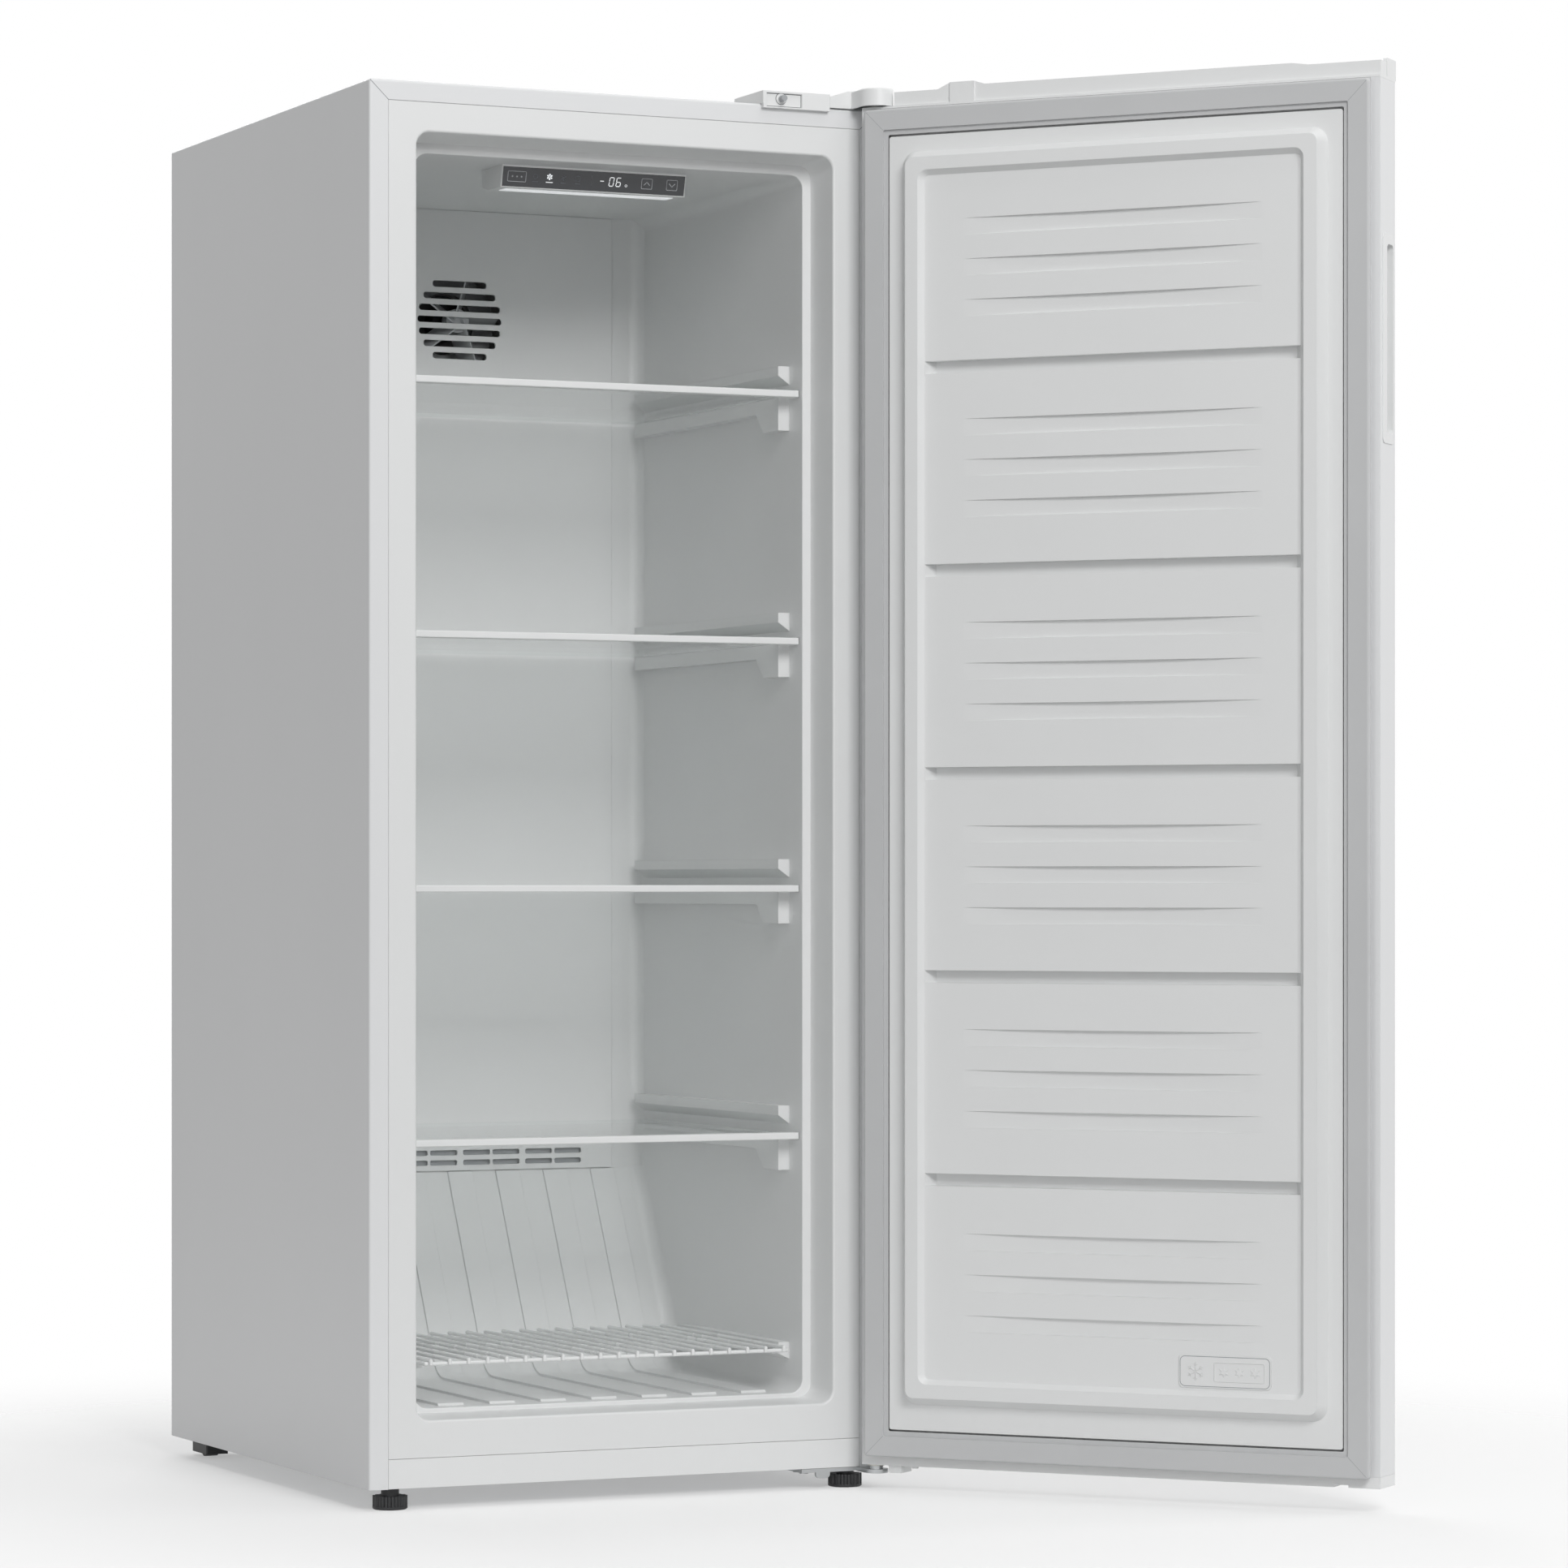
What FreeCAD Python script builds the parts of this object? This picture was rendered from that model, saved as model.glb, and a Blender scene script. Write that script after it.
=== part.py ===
import FreeCAD, Part
import math
import os

import Sketcher

# An upright freezer with a frost-free evaporator, four glass shelves and one wire shelf.
# Everything is laid out in the cabinet's own directions: X runs from the left side to the right,
# Y from the front face to the back and Z up from the cabinet's bottom edge, in millimetres.
# The door is laid out closed and then turned open about its hinge line, and the finished pieces
# are set down on the floor, under the middle of the whole freezer.

SIZES = {
    # steel wrapper, the sheet behind it with its beads, and the screws
    "cab_width": 560.0, "cab_height": 1400.0, "cab_depth": 610.0,
    "wrap_gauge": 1.0, "wrap_round": 2.5, "side_flange": 20.5, "top_flange": 20.0, "rear_flange": 12.0,
    "bead_first": 330.0, "bead_pitch": 210.0, "bead_height": 18.0, "bead_side": 45.0, "bead_rise": 1.0,
    "screw_radius": 2.5, "screw_play": 0.1, "fit_gap": 0.3,
    # opening of the liner: its rim slopes in, then a narrow land leads to the walls
    "rim_side": 50.6, "rim_top": 49.7, "rim_sill": 67.1, "rim_depth": 44.0, "rim_draft": 5.4,
    "sill_draft": 2.8, "rim_land": 9.3, "sill_land": 4.7, "top_land": 10.2, "rim_round": 14.0,
    "rim_lip": 2.5, "land_lip": 1.2, "liner_gauge": 2.0, "liner_recess": 0.3, "liner_tuck": 10.0,
    # liner floor, hump over the compressor bay and recess for the evaporator
    "cover_back": 145.0, "floor_clear": 70.0, "hump_over": 43.9, "hump_blend": 34.0,
    "recess_side": 108.0, "recess_depth": 62.5, "recess_drop": 75.0, "recess_step": 3.1,
    "floor_rib_pitch": 56.0, "floor_rib_width": 28.0, "floor_rib_rise": 2.5, "floor_rib_start": 62.0,
    # compressor bay behind and below the liner, its tray, toe panel and drain
    "bay_length": 185.0, "roof_length": 90.0, "bay_wall": 70.0, "bay_top": 245.0, "bay_gauge": 1.0,
    "toe_height": 29.6, "toe_space": 45.0, "tray_gauge": 1.5, "toe_lip": 9.0, "toe_gauge": 2.0,
    "toe_set": 0.4, "drain_setback": 37.5, "drain_radius": 9.0, "drain_wall": 2.0, "drain_end": 26.0,
    # shelves and their supports
    "shelf_top": 1113.0, "shelf_pitch": 256.4, "shelf_front": 50.5, "shelf_clear": 13.0,
    "shelf_gap": 1.2, "glass_gauge": 4.0, "glass_inset": 1.6, "glass_corner": 1.2,
    "trim_height": 7.2, "trim_depth": 14.0, "trim_round": 1.6, "slide_gap": 0.2,
    "rail_width": 12.8, "rail_front": 76.0, "rail_foot": 36.0, "rail_slope": 20.0,
    "block_drop": 40.0, "rail_drop": 20.0, "keeper_rise": 27.0, "keeper_inner": 17.0, "keeper_outer": 8.0,
    # wire shelf and its ledges
    "wire_level": 118.5, "wire_bar": 4.0, "wire_rod": 3.8, "wire_pitch": 20.6, "wire_side": 80.0,
    "wire_front": 52.0, "wire_rear": 9.0, "wire_sink": 0.5, "wire_drop": 1.0,
    "ledge_width": 20.0, "ledge_back": 25.0, "ledge_gauge": 3.5, "ledge_rise": 8.5, "ledge_root": 9.5,
    # evaporator cover and the parts behind it
    "cover_gauge": 2.5, "cover_gap": 0.3, "cover_side": 100.0, "cover_foot": 0.6, "cover_corner": 4.0,
    "slot_start": 38.0, "slot_lift": 5.9, "slot_round": 2.0,
    "slot_width": 31.7, "slot_height": 5.6, "slot_rib": 2.8, "slot_rise": 10.8, "slot_pair": 73.0,
    "fan_drop": 185.0, "fan_radius": 52.0, "fan_slot": 7.0, "fan_slot_pitch": 13.0,
    "coil_base": 340.0, "coil_height": 300.0, "coil_centre": 32.0, "coil_depth": 50.0, "coil_plate": 1.5,
    "fin_gauge": 1.0, "fin_pitch": 13.0, "coil_pipe": 8.0, "coil_row": 50.0, "coil_first": 25.0,
    "heater_pipe": 7.0, "heater_drop": 20.0, "heater_cap": 14.0,
    "motor_radius": 20.0, "motor_length": 26.0, "motor_foot": 9.0, "motor_flange": 12.0,
    "shaft_radius": 2.0, "shaft_gap": 0.05, "shaft_seat": 16.0,
    "blade_hub": 13.0, "blade_gauge": 1.6, "blade_chord": 24.0, "blade_depth": 14.0, "blade_gap": 4.0,
    "blade_tip": 5.0, "blade_twist": 62.0,
    # control panel under the ceiling, with the lamp and the temperature sensor
    "panel_width": 205.0, "panel_shift": 0.5, "panel_front": 88.0, "panel_height": 22.4,
    "panel_depth": 58.0, "panel_lean": 5.5, "panel_rear": 17.5, "panel_tail": 18.0, "panel_round": 0.8,
    "panel_wall": 1.6, "panel_roof": 6.0, "fascia_top": 1.7, "fascia_low": 1.0, "fascia_side": 1.2,
    "fascia_gauge": 1.5, "lens_side": 9.0, "lens_front": 9.0, "lens_depth": 18.0, "lens_sink": 0.4,
    "board_gauge": 1.6, "sensor_side": 63.7, "sensor_length": 26.0, "sensor_radius": 3.0,
    "sensor_back": 203.0, "sensor_drop": 5.5, "clip_width": 10.0, "clip_depth": 9.0, "clip_drop": 7.5,
    # top hinge
    "hinge_side": 12.2, "hinge_front": 22.6, "pin_radius": 4.0, "pin_gap": 0.06, "pin_length": 16.0,
    "bracket_gauge": 4.0, "arm_radius": 8.8, "bracket_length": 56.0, "bracket_front": 4.0,
    "bracket_back": 60.0, "head_radius": 5.0, "head_height": 2.6,
    # cover over the top hinge and the door switch
    "cover_left": 133.0, "cover_step": 57.0, "cover_right": 0.8, "cover_front": 6.0,
    "nose_front": 3.0, "cover_rear": 66.0, "cover_rise": 13.0, "cover_hang": 4.4, "nose_rise": 18.0,
    "nose_ramp": 22.0, "nose_radius": 19.3, "cover_wall": 2.0, "switch_width": 40.0, "switch_side": 4.0,
    "switch_low": 3.0, "switch_high": 11.0, "switch_recess": 2.0, "plunger_side": 21.0,
    "plunger_radius": 3.2, "plunger_tip": 13.0, "plunger_level": 5.5, "plunger_tail": 8.0,
    "plunger_head": 6.3, "plunger_collar": 1.6, "plunger_flange": 3.0, "guide_length": 10.0,
    "guide_wall": 2.0, "bore_play": 0.1, "nose_soft": 1.6,
    # bottom hinge
    "lower_far": 86.0, "lower_near": 4.0, "lower_front": 1.0, "lower_back": 46.0,
    "lower_arm_radius": 12.0, "lower_arm_side": 8.0, "shoulder_radius": 7.0, "shoulder_rise": 3.6,
    "lower_pin": 20.0, "tab_width": 16.0, "tab_drop": 10.0, "tab_side": 54.0, "tab_gauge": 3.0,
    "lower_head": 4.6,
    # feet and rear rollers
    "floor_drop": 21.0, "foot_side": 29.0, "foot_back": 18.0, "foot_radius": 17.5, "foot_height": 13.4,
    "neck_radius": 9.0, "stud_radius": 4.0, "stud_length": 18.0, "stud_gap": 0.08, "seat_gap": 0.3,
    "grip_radius": 2.4, "grip_ring": 0.7,
    "roller_side": 34.0, "roller_rear": 30.0, "roller_radius": 9.0, "roller_width": 14.0,
    "roller_pin": 2.5, "roller_gap": 0.06, "roller_play": 0.5, "cheek_gauge": 5.0, "roller_case": 24.0,
    "roller_bay": 12.0, "roller_cover": 17.0, "skirt_length": 52.0, "skirt_drop": 10.0,
    "step_drop": 8.0,
    # compressor and its circuit
    "comp_side": 170.0, "comp_rear": 69.0, "comp_radius": 58.0, "comp_base": 16.0, "comp_height": 134.0,
    "comp_dome": 26.0, "comp_crown": 14.0, "comp_taper": 10.0, "seam_height": 5.0, "seam_width": 1.5,
    "plate_gauge": 3.0, "plate_side": 70.0, "plate_back": 50.0, "grommet_radius": 9.0,
    "grommet_neck": 5.0, "grommet_cap": 7.0, "grommet_side": 58.0, "grommet_back": 38.0,
    "tube_radius": 3.2, "stub_rise": 8.0, "stub_side": 35.0, "discharge_level": 215.0,
    "suction_level": 195.0, "suction_side": 60.0, "relay_low": 42.0, "relay_height": 46.0,
    "relay_width": 48.0, "relay_depth": 42.0, "relay_bite": 8.0,
    "drier_radius": 9.0, "drier_length": 110.0, "drier_low": 66.0, "drier_taper": 10.0, "drier_side": 20.0,
    "drier_back": 45.0, "drier_outlet": 32.0, "capillary_radius": 1.5,
    "pan_side": 44.0, "pan_clear": 7.0, "pan_front": 15.0, "pan_height": 18.0, "pan_wall": 2.0,
    "pan_corner": 10.0, "box_side": 22.0, "box_gap": 4.0, "box_width": 92.0, "box_depth": 57.0, "box_top": 104.0,
    "box_space": 18.0,
    # cover of the compressor bay and the inlet for the mains lead
    "grille_set": 7.5, "grille_gauge": 1.5, "louvre_first": 80.0, "louvre_pitch": 16.0,
    "louvre_height": 6.0, "louvre_side": 40.0, "louvre_width": 160.0, "louvre_gap": 40.0,
    "inlet_side": 68.0, "inlet_level": 128.0, "inlet_radius": 4.0, "inlet_neck": 8.0,
    "inlet_flange": 14.0, "inlet_lip": 2.5, "inlet_boss": 9.0, "inlet_rise": 6.5, "inlet_tail": 6.0,
    # door: steel panel and end caps
    "door_gap": 13.3, "door_depth": 48.0, "door_bottom": 4.8, "door_under": 3.0, "door_round": 3.5,
    "door_bevel": 5.5, "bevel_back": 2.7, "panel_return": 10.0, "cap_lower": 16.0, "cap_upper": 19.2,
    "cap_end": 16.5, "cap_floor": 2.2, "cap_corner": 35.5, "cap_ramp": 84.0, "striker_start": 98.0,
    "striker_end": 125.0, "striker_rise": 22.8, "cap_step": 136.0, "cap_tail": 93.0, "tail_slope": 18.0,
    "tail_rise": 0.2, "cap_wall": 2.5, "cap_set": 1.6, "cap_lip": 2.6, "end_rib": 4.0, "end_rise": 4.8,
    "end_split": 34.5, "slit_width": 1.5, "slit_depth": 3.0, "slit_low": 3.0,
    "notch_side": 33.0, "notch_width": 15.0, "notch_height": 2.5, "low_floor": 4.5,
    "low_space_side": 28.0,
    # gasket: foot, neck, soft bulb and inner lip
    "seal_inset": 7.5, "seal_width": 21.6, "seal_face": 0.6, "seal_bottom": 14.5, "seal_under": 5.2,
    "seal_bulb": 7.0, "seal_round": 2.2, "seal_corner": 4.0, "seal_neck": 5.5, "seal_foot": 2.5,
    "foot_rise": 4.3, "foot_short": 2.3, "lip_width": 5.0, "lip_level": 2.6, "lip_gauge": 1.6,
    # liner of the door: plateau, ridge and ribbed field
    "pan_inset": 35.3, "pan_bottom": 43.0, "pan_under": 34.0, "pan_face": 3.0, "pan_round": 2.6,
    "pan_gauge": 2.0, "ridge_inset": 50.5, "ridge_bottom": 69.4, "ridge_under": 50.0,
    "ridge_rise": 12.3, "ridge_draft": 30.7, "ridge_round": 16.0, "field_inset": 72.0,
    "field_bottom": 91.3, "field_under": 71.0, "field_depth": 7.3, "field_draft": 34.4,
    "field_round": 5.0, "field_gauge": 5.5, "groove_trim": 3.7, "groove_shift": 3.65, "groove_height": 12.6,
    "groove_depth": 12.0, "groove_slant": 7.9, "groove_wall": 1.8,
    "scoop_length": 322.0, "scoop_height": 17.0, "scoop_depth": 4.0, "scoop_pitch": 41.5,
    "scoop_shift": 1.4, "badge_side": 108.0, "badge_level": 115.5, "badge_width": 98.0,
    "badge_height": 33.0, "badge_rise": 0.8, "badge_corner": 5.0,
    # finger grip in the door's edge, bushings and stop
    "grip_under": 155.5, "grip_length": 207.9, "grip_front": 20.3, "grip_back": 53.2,
    "grip_flange": 0.8, "grip_round": 6.0, "grip_step": 1.5, "slot_inner": 32.5, "slot_outer": 51.2,
    "slot_end": 10.4, "slot_depth": 21.0, "slot_corner": 5.0, "grip_wall": 5.0,
    "bush_radius": 7.0, "bush_flange": 9.0, "bush_lip": 0.6, "bush_length": 20.0, "low_bush_top": 24.0,
    "low_bush_lip": 1.15, "stop_near": 29.0, "stop_far": 43.0, "stop_drop": 7.8, "stop_start": 16.0,
    "stop_end": 42.0, "stop_plate": 16.0, "stop_gauge": 1.5, "stop_screw": 3.4,
    # how far the door stands open
    "door_open": 130.0,
    # centre of the floor under the whole freezer, worked out at the end
    "centre_x": 0.0, "centre_y": 0.0,
}

doc = FreeCAD.newDocument("UprightFreezer")
sheet = doc.addObject("Spreadsheet::Sheet", "Sizes")
for row, (alias, number) in enumerate(SIZES.items(), 1):
    sheet.set(f"A{row}", alias)
    sheet.set(f"B{row}", str(number))
    sheet.setAlias(f"B{row}", alias)
doc.recompute()


class Dim:
    """A size that knows its number and the sheet expression that it comes from."""

    def __init__(self, number, text):
        self.number = float(number)
        self.text = text

    def __float__(self):
        return self.number

    def __add__(self, other):
        return join(self, "+", other)

    def __radd__(self, other):
        return join(other, "+", self)

    def __sub__(self, other):
        return join(self, "-", other)

    def __rsub__(self, other):
        return join(other, "-", self)

    def __mul__(self, other):
        return join(self, "*", other)

    def __rmul__(self, other):
        return join(other, "*", self)

    def __truediv__(self, other):
        return join(self, "/", other)

    def __neg__(self):
        return join(0, "-", self)


def dim(value):
    """A plain number as a Dim; a Dim stays as it is."""
    if isinstance(value, Dim):
        return value
    return Dim(value, repr(float(value)))


def join(left, sign, right):
    """The Dim of a sum, difference, product or quotient."""
    left = dim(left)
    right = dim(right)
    number = {
        "+": left.number + right.number,
        "-": left.number - right.number,
        "*": left.number * right.number,
        "/": left.number / right.number if right.number else 0.0,
    }[sign]
    return Dim(number, f"({left.text} {sign} {right.text})")


def trig(name, angle):
    """Sine, cosine or tangent of an angle in degrees."""
    angle = dim(angle)
    return Dim(getattr(math, name)(math.radians(angle.number)), f"{name}({angle.text})")


def root(value):
    """The square root of a size."""
    return Dim(math.sqrt(value.number), f"sqrt({value.text})")


def slope_angle(climb):
    """The angle in degrees whose tangent is a ratio."""
    return Dim(math.degrees(math.atan(climb.number)), f"atan({climb.text})")


class Sheet:
    """The sizes by name."""

    def __init__(self, numbers):
        for name, number in numbers.items():
            setattr(self, name, Dim(number, f"Sizes.{name}"))


s = Sheet(SIZES)
NODES = []


def bind(thing, prop, value):
    """Tie a property to a size."""
    value = dim(value)
    thing.setExpression(prop, value.text)


def place(thing, x, y, z):
    """Tie a thing's position to three sizes."""
    bind(thing, "Placement.Base.x", x)
    bind(thing, "Placement.Base.y", y)
    bind(thing, "Placement.Base.z", z)


def box(name, x, y, z):
    """A box between two limits on each axis."""
    solid = doc.addObject("Part::Box", name)
    bind(solid, "Length", x[1] - x[0])
    bind(solid, "Width", y[1] - y[0])
    bind(solid, "Height", z[1] - z[0])
    place(solid, x[0], y[0], z[0])
    return solid


TURNS = {
    "x": FreeCAD.Rotation(FreeCAD.Vector(0, 1, 0), 90),
    "y": FreeCAD.Rotation(FreeCAD.Vector(1, 0, 0), -90),
    "z": FreeCAD.Rotation(),
}


def rod(name, axis, centre, radius, span):
    """A cylinder along an axis; centre holds the two other coordinates in X, Y, Z order."""
    solid = doc.addObject("Part::Cylinder", name)
    bind(solid, "Radius", radius)
    bind(solid, "Height", span[1] - span[0])
    solid.Placement = FreeCAD.Placement(FreeCAD.Vector(), TURNS[axis])
    start = list(centre)
    start.insert("xyz".index(axis), span[0])
    place(solid, *start)
    return solid


def cone(name, centre, radii, span):
    """A cone about Z."""
    solid = doc.addObject("Part::Cone", name)
    bind(solid, "Radius1", radii[0])
    bind(solid, "Radius2", radii[1])
    bind(solid, "Height", span[1] - span[0])
    place(solid, centre[0], centre[1], span[0])
    return solid


def fuse(name, solids):
    """The sum of several solids."""
    joined = doc.addObject("Part::MultiFuse", name)
    joined.Shapes = solids
    joined.Refine = True
    return joined


def cut(name, base, tools):
    """The base less one tool, or less the sum of several."""
    result = doc.addObject("Part::Cut", name)
    result.Base = base
    result.Tool = tools[0] if len(tools) == 1 else fuse(name + "_tools", tools)
    result.Refine = True
    return result


def common(name, first, second):
    """What two solids share."""
    shared = doc.addObject("Part::Common", name)
    shared.Base = first
    shared.Tool = second
    return shared


PLANES = {"x": "YZ_Plane", "y": "XZ_Plane", "z": "XY_Plane"}


def new_sketch(body, name, axis, offset):
    """A sketch square to an axis of its body, at an offset along that axis."""
    sketch = body.newObject("Sketcher::SketchObject", name)
    plane = [part for part in body.Origin.OriginFeatures if part.Role == PLANES[axis]][0]
    sketch.AttachmentSupport = [(plane, "")]
    sketch.MapMode = "FlatFace"
    sign = -1 if axis == "y" else 1
    bind(sketch, "AttachmentOffset.Base.z", sign * dim(offset))
    return sketch


def fix(sketch, kind, *items):
    """Add a constraint whose last item is a size, and tie it to the sheet."""
    *where, value = items
    value = dim(value)
    index = sketch.addConstraint(Sketcher.Constraint(kind, *where, value.number))
    sketch.setExpression(f"Constraints[{index}]", value.text)


def draw_outline(sketch, points):
    """A closed outline of straight lines through points."""
    corners = [FreeCAD.Vector(float(dim(a)), float(dim(b)), 0) for a, b in points]
    count = len(corners)
    first = sketch.GeometryCount
    for i in range(count):
        sketch.addGeometry(Part.LineSegment(corners[i], corners[(i + 1) % count]), False)
    for i in range(count):
        following = first + (i + 1) % count
        sketch.addConstraint(Sketcher.Constraint("Coincident", first + i, 2, following, 1))
    for i, (a, b) in enumerate(points):
        fix(sketch, "DistanceX", -1, 1, first + i, 1, a)
        fix(sketch, "DistanceY", -1, 1, first + i, 1, b)


def draw_rounded(sketch, across, up, radius):
    """A rectangle with round corners between two limits each way."""
    a0, a1 = (float(dim(value)) for value in across)
    b0, b1 = (float(dim(value)) for value in up)
    r = float(dim(radius))
    vector = FreeCAD.Vector
    runs = [((a0 + r, b0), (a1 - r, b0)), ((a1, b0 + r), (a1, b1 - r)),
            ((a1 - r, b1), (a0 + r, b1)), ((a0, b1 - r), (a0, b0 + r))]
    middles = [(a1 - r, b0 + r), (a1 - r, b1 - r), (a0 + r, b1 - r), (a0 + r, b0 + r)]
    base = sketch.GeometryCount
    for start, end in runs:
        sketch.addGeometry(Part.LineSegment(vector(*start, 0), vector(*end, 0)), False)
    for i, middle in enumerate(middles):
        circle = Part.Circle(vector(*middle, 0), vector(0, 0, 1), r)
        turn = -math.pi / 2 + i * math.pi / 2
        sketch.addGeometry(Part.ArcOfCircle(circle, turn, turn + math.pi / 2), False)
    for i in range(4):
        arc = base + 4 + i
        sketch.addConstraint(Sketcher.Constraint("Tangent", base + i, 2, arc, 1))
        sketch.addConstraint(Sketcher.Constraint("Tangent", arc, 2, base + (i + 1) % 4, 1))
    for i in range(4):
        kind = "Horizontal" if i % 2 == 0 else "Vertical"
        sketch.addConstraint(Sketcher.Constraint(kind, base + i))
    for i in range(3):
        sketch.addConstraint(Sketcher.Constraint("Equal", base + 4 + i, base + 5 + i))
    fix(sketch, "Radius", base + 4, radius)
    fix(sketch, "DistanceY", -1, 1, base, 1, up[0])
    fix(sketch, "DistanceX", -1, 1, base + 1, 1, across[1])
    fix(sketch, "DistanceY", -1, 1, base + 2, 1, up[1])
    fix(sketch, "DistanceX", -1, 1, base + 3, 1, across[0])


def pad(body, sketch, axis, length, taper=0):
    """Raise a sketch along its body's axis; a taper narrows it on the way."""
    feature = body.newObject("PartDesign::Pad", sketch.Name + "_pad")
    feature.Profile = sketch
    feature.Reversed = axis == "y"
    bind(feature, "Length", length)
    if isinstance(taper, Dim):
        bind(feature, "TaperAngle", -taper)
    return feature


def prism(name, axis, points, span):
    """A body with a straight-sided outline, from span[0] to span[1] along an axis."""
    body = doc.addObject("PartDesign::Body", name)
    sketch = new_sketch(body, name + "_outline", axis, span[0])
    draw_outline(sketch, points)
    pad(body, sketch, axis, span[1] - span[0])
    return body


def slab(name, axis, across, up, radius, span, taper=0):
    """A body with a round-cornered rectangular outline, from span[0] to span[1] along an axis."""
    body = doc.addObject("PartDesign::Body", name)
    sketch = new_sketch(body, name + "_outline", axis, span[0])
    draw_rounded(sketch, across, up, radius)
    pad(body, sketch, axis, span[1] - span[0], taper)
    return body


def funnel(name, first, second):
    """A loft along Y between two round-cornered rectangles: (across, up, radius, offset) each."""
    body = doc.addObject("PartDesign::Body", name)
    ends = []
    for mark, (across, up, radius, offset) in zip("ab", (first, second)):
        sketch = new_sketch(body, f"{name}_{mark}", "y", offset)
        draw_rounded(sketch, across, up, radius)
        ends.append(sketch)
    loft = body.newObject("PartDesign::AdditiveLoft", name + "_loft")
    loft.Profile = ends[0]
    loft.Sections = [ends[1]]
    loft.Ruled = True
    return body


def edges_where(shape, test):
    """Names of the edges whose middle point and direction pass a test."""
    names = []
    for index, edge in enumerate(shape.Edges, 1):
        middle = edge.valueAt((edge.FirstParameter + edge.LastParameter) / 2)
        if test(edge, middle):
            names.append(f"Edge{index}")
    return names


def round_body(body, radius, test):
    """Fillet the edges of a body that pass a test."""
    doc.recompute()
    last = body.Tip
    names = edges_where(last.Shape, test)
    feature = body.newObject("PartDesign::Fillet", last.Name + "_round")
    feature.Base = (last, names)
    bind(feature, "Radius", radius)
    body.Tip = feature
    return body


def near(a, b, slack=0.05):
    """Whether two sizes are the same but for rounding."""
    return abs(float(dim(a)) - float(dim(b))) < slack


def runs_along(edge, axis):
    """Whether an edge is a straight run along an axis."""
    size = edge.BoundBox
    spans = {"x": size.XLength, "y": size.YLength, "z": size.ZLength}
    return spans[axis] > 1 and all(span < 1e-4 for key, span in spans.items() if key != axis)


def node(label, thing, on_door=False):
    """Name a finished piece and set it down in the freezer's own frame."""
    thing.Label = label
    if on_door:
        turn = FreeCAD.Rotation(FreeCAD.Vector(0, 0, 1), float(s.door_open))
        thing.Placement = FreeCAD.Placement(FreeCAD.Vector(), turn)
        bind(thing, "Placement.Rotation.Angle", s.door_open)
        cosine = trig("cos", s.door_open)
        sine = trig("sin", s.door_open)
        place(thing,
              hinge_x - (hinge_x * cosine - hinge_y * sine) - s.centre_x,
              hinge_y - (hinge_x * sine + hinge_y * cosine) - s.centre_y,
              s.floor_drop)
    else:
        place(thing, -s.centre_x, -s.centre_y, s.floor_drop)
    NODES.append(thing)
    return thing


width = s.cab_width
hinge_x = width - s.hinge_side
hinge_y = -s.hinge_front


def inset(amount):
    """The limits left when the same amount is taken off both sides of the cabinet's width."""
    return (amount, width - amount)


def tube(name, points, radius):
    """A tube through points, each a step along one axis from the last, with round elbows."""
    pieces = []
    for i in range(len(points) - 1):
        start = [dim(value) for value in points[i]]
        end = [dim(value) for value in points[i + 1]]
        axis = [k for k in range(3) if not near(start[k], end[k], 0.001)][0]
        low, high = sorted((start[axis], end[axis]), key=float)
        centre = [start[k] for k in range(3) if k != axis]
        pieces.append(rod(f"{name}_run{i}", "xyz"[axis], centre, radius, (low, high)))
    for i, point in enumerate(points[1:-1]):
        elbow = doc.addObject("Part::Sphere", f"{name}_elbow{i}")
        bind(elbow, "Radius", radius)
        place(elbow, *point)
        pieces.append(elbow)
    return pieces


# --- steel wrapper -------------------------------------------------------------------------------
cab_top = s.cab_height
cab_back = s.cab_depth
back_face = cab_back - s.wrap_gauge
floor_level = dim(0)
front_face = dim(0)
SPARE = 5  # how far a cutting tool reaches past what it cuts


def past(limits, amount=SPARE):
    """Limits with an amount added at both ends."""
    return (limits[0] - amount, limits[1] + amount)


def rounded_shell(name, gauge, radius, back, bottom):
    """The cabinet's outline less a thickness, with its front and top edges rounded."""
    front = front_face + gauge
    top = cab_top - gauge
    across = inset(gauge)
    body = prism(name, "z", [(across[0], front), (across[1], front), (across[1], back),
                             (across[0], back)], (bottom, top))
    return round_body(body, radius, lambda edge, middle: near(middle.z, top) or (
        runs_along(edge, "z") and near(middle.y, front)))


wrap_outer = rounded_shell("wrap_outer", dim(0), s.wrap_round, cab_back, floor_level)
wrap_inner = rounded_shell("wrap_inner", s.wrap_gauge, s.wrap_round - s.wrap_gauge, back_face,
                           floor_level - SPARE)
# X from the right side and Y of the three screws in each hinge bracket
top_screw_spots = [(width - 45, dim(20)), (width - 45, dim(48)), (width - 15, dim(42))]
low_screw_spots = [(width - 74, dim(22)), (width - 74, dim(38)), (width - 12, dim(38))]
screw_hole = s.screw_radius + s.screw_play
bracket_hole = screw_hole + s.screw_play


def screw_holes(name, spots, radius, span):
    """Upright holes for a set of screws."""
    return [rod(f"{name}{i}", "z", spot, radius, span) for i, spot in enumerate(spots)]


node("outer_wrapper", cut("wrapper", wrap_outer, [
    wrap_inner,
    box("wrap_front_opening", inset(s.side_flange), past((front_face, s.wrap_round)),
        (floor_level - SPARE, cab_top - s.top_flange)),
    box("wrap_rear_opening", inset(s.rear_flange), past((back_face, cab_back)),
        (floor_level - SPARE, cab_top - s.rear_flange)),
] + screw_holes("wrap_screw", top_screw_spots, screw_hole, past((cab_top, cab_top)))))

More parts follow.
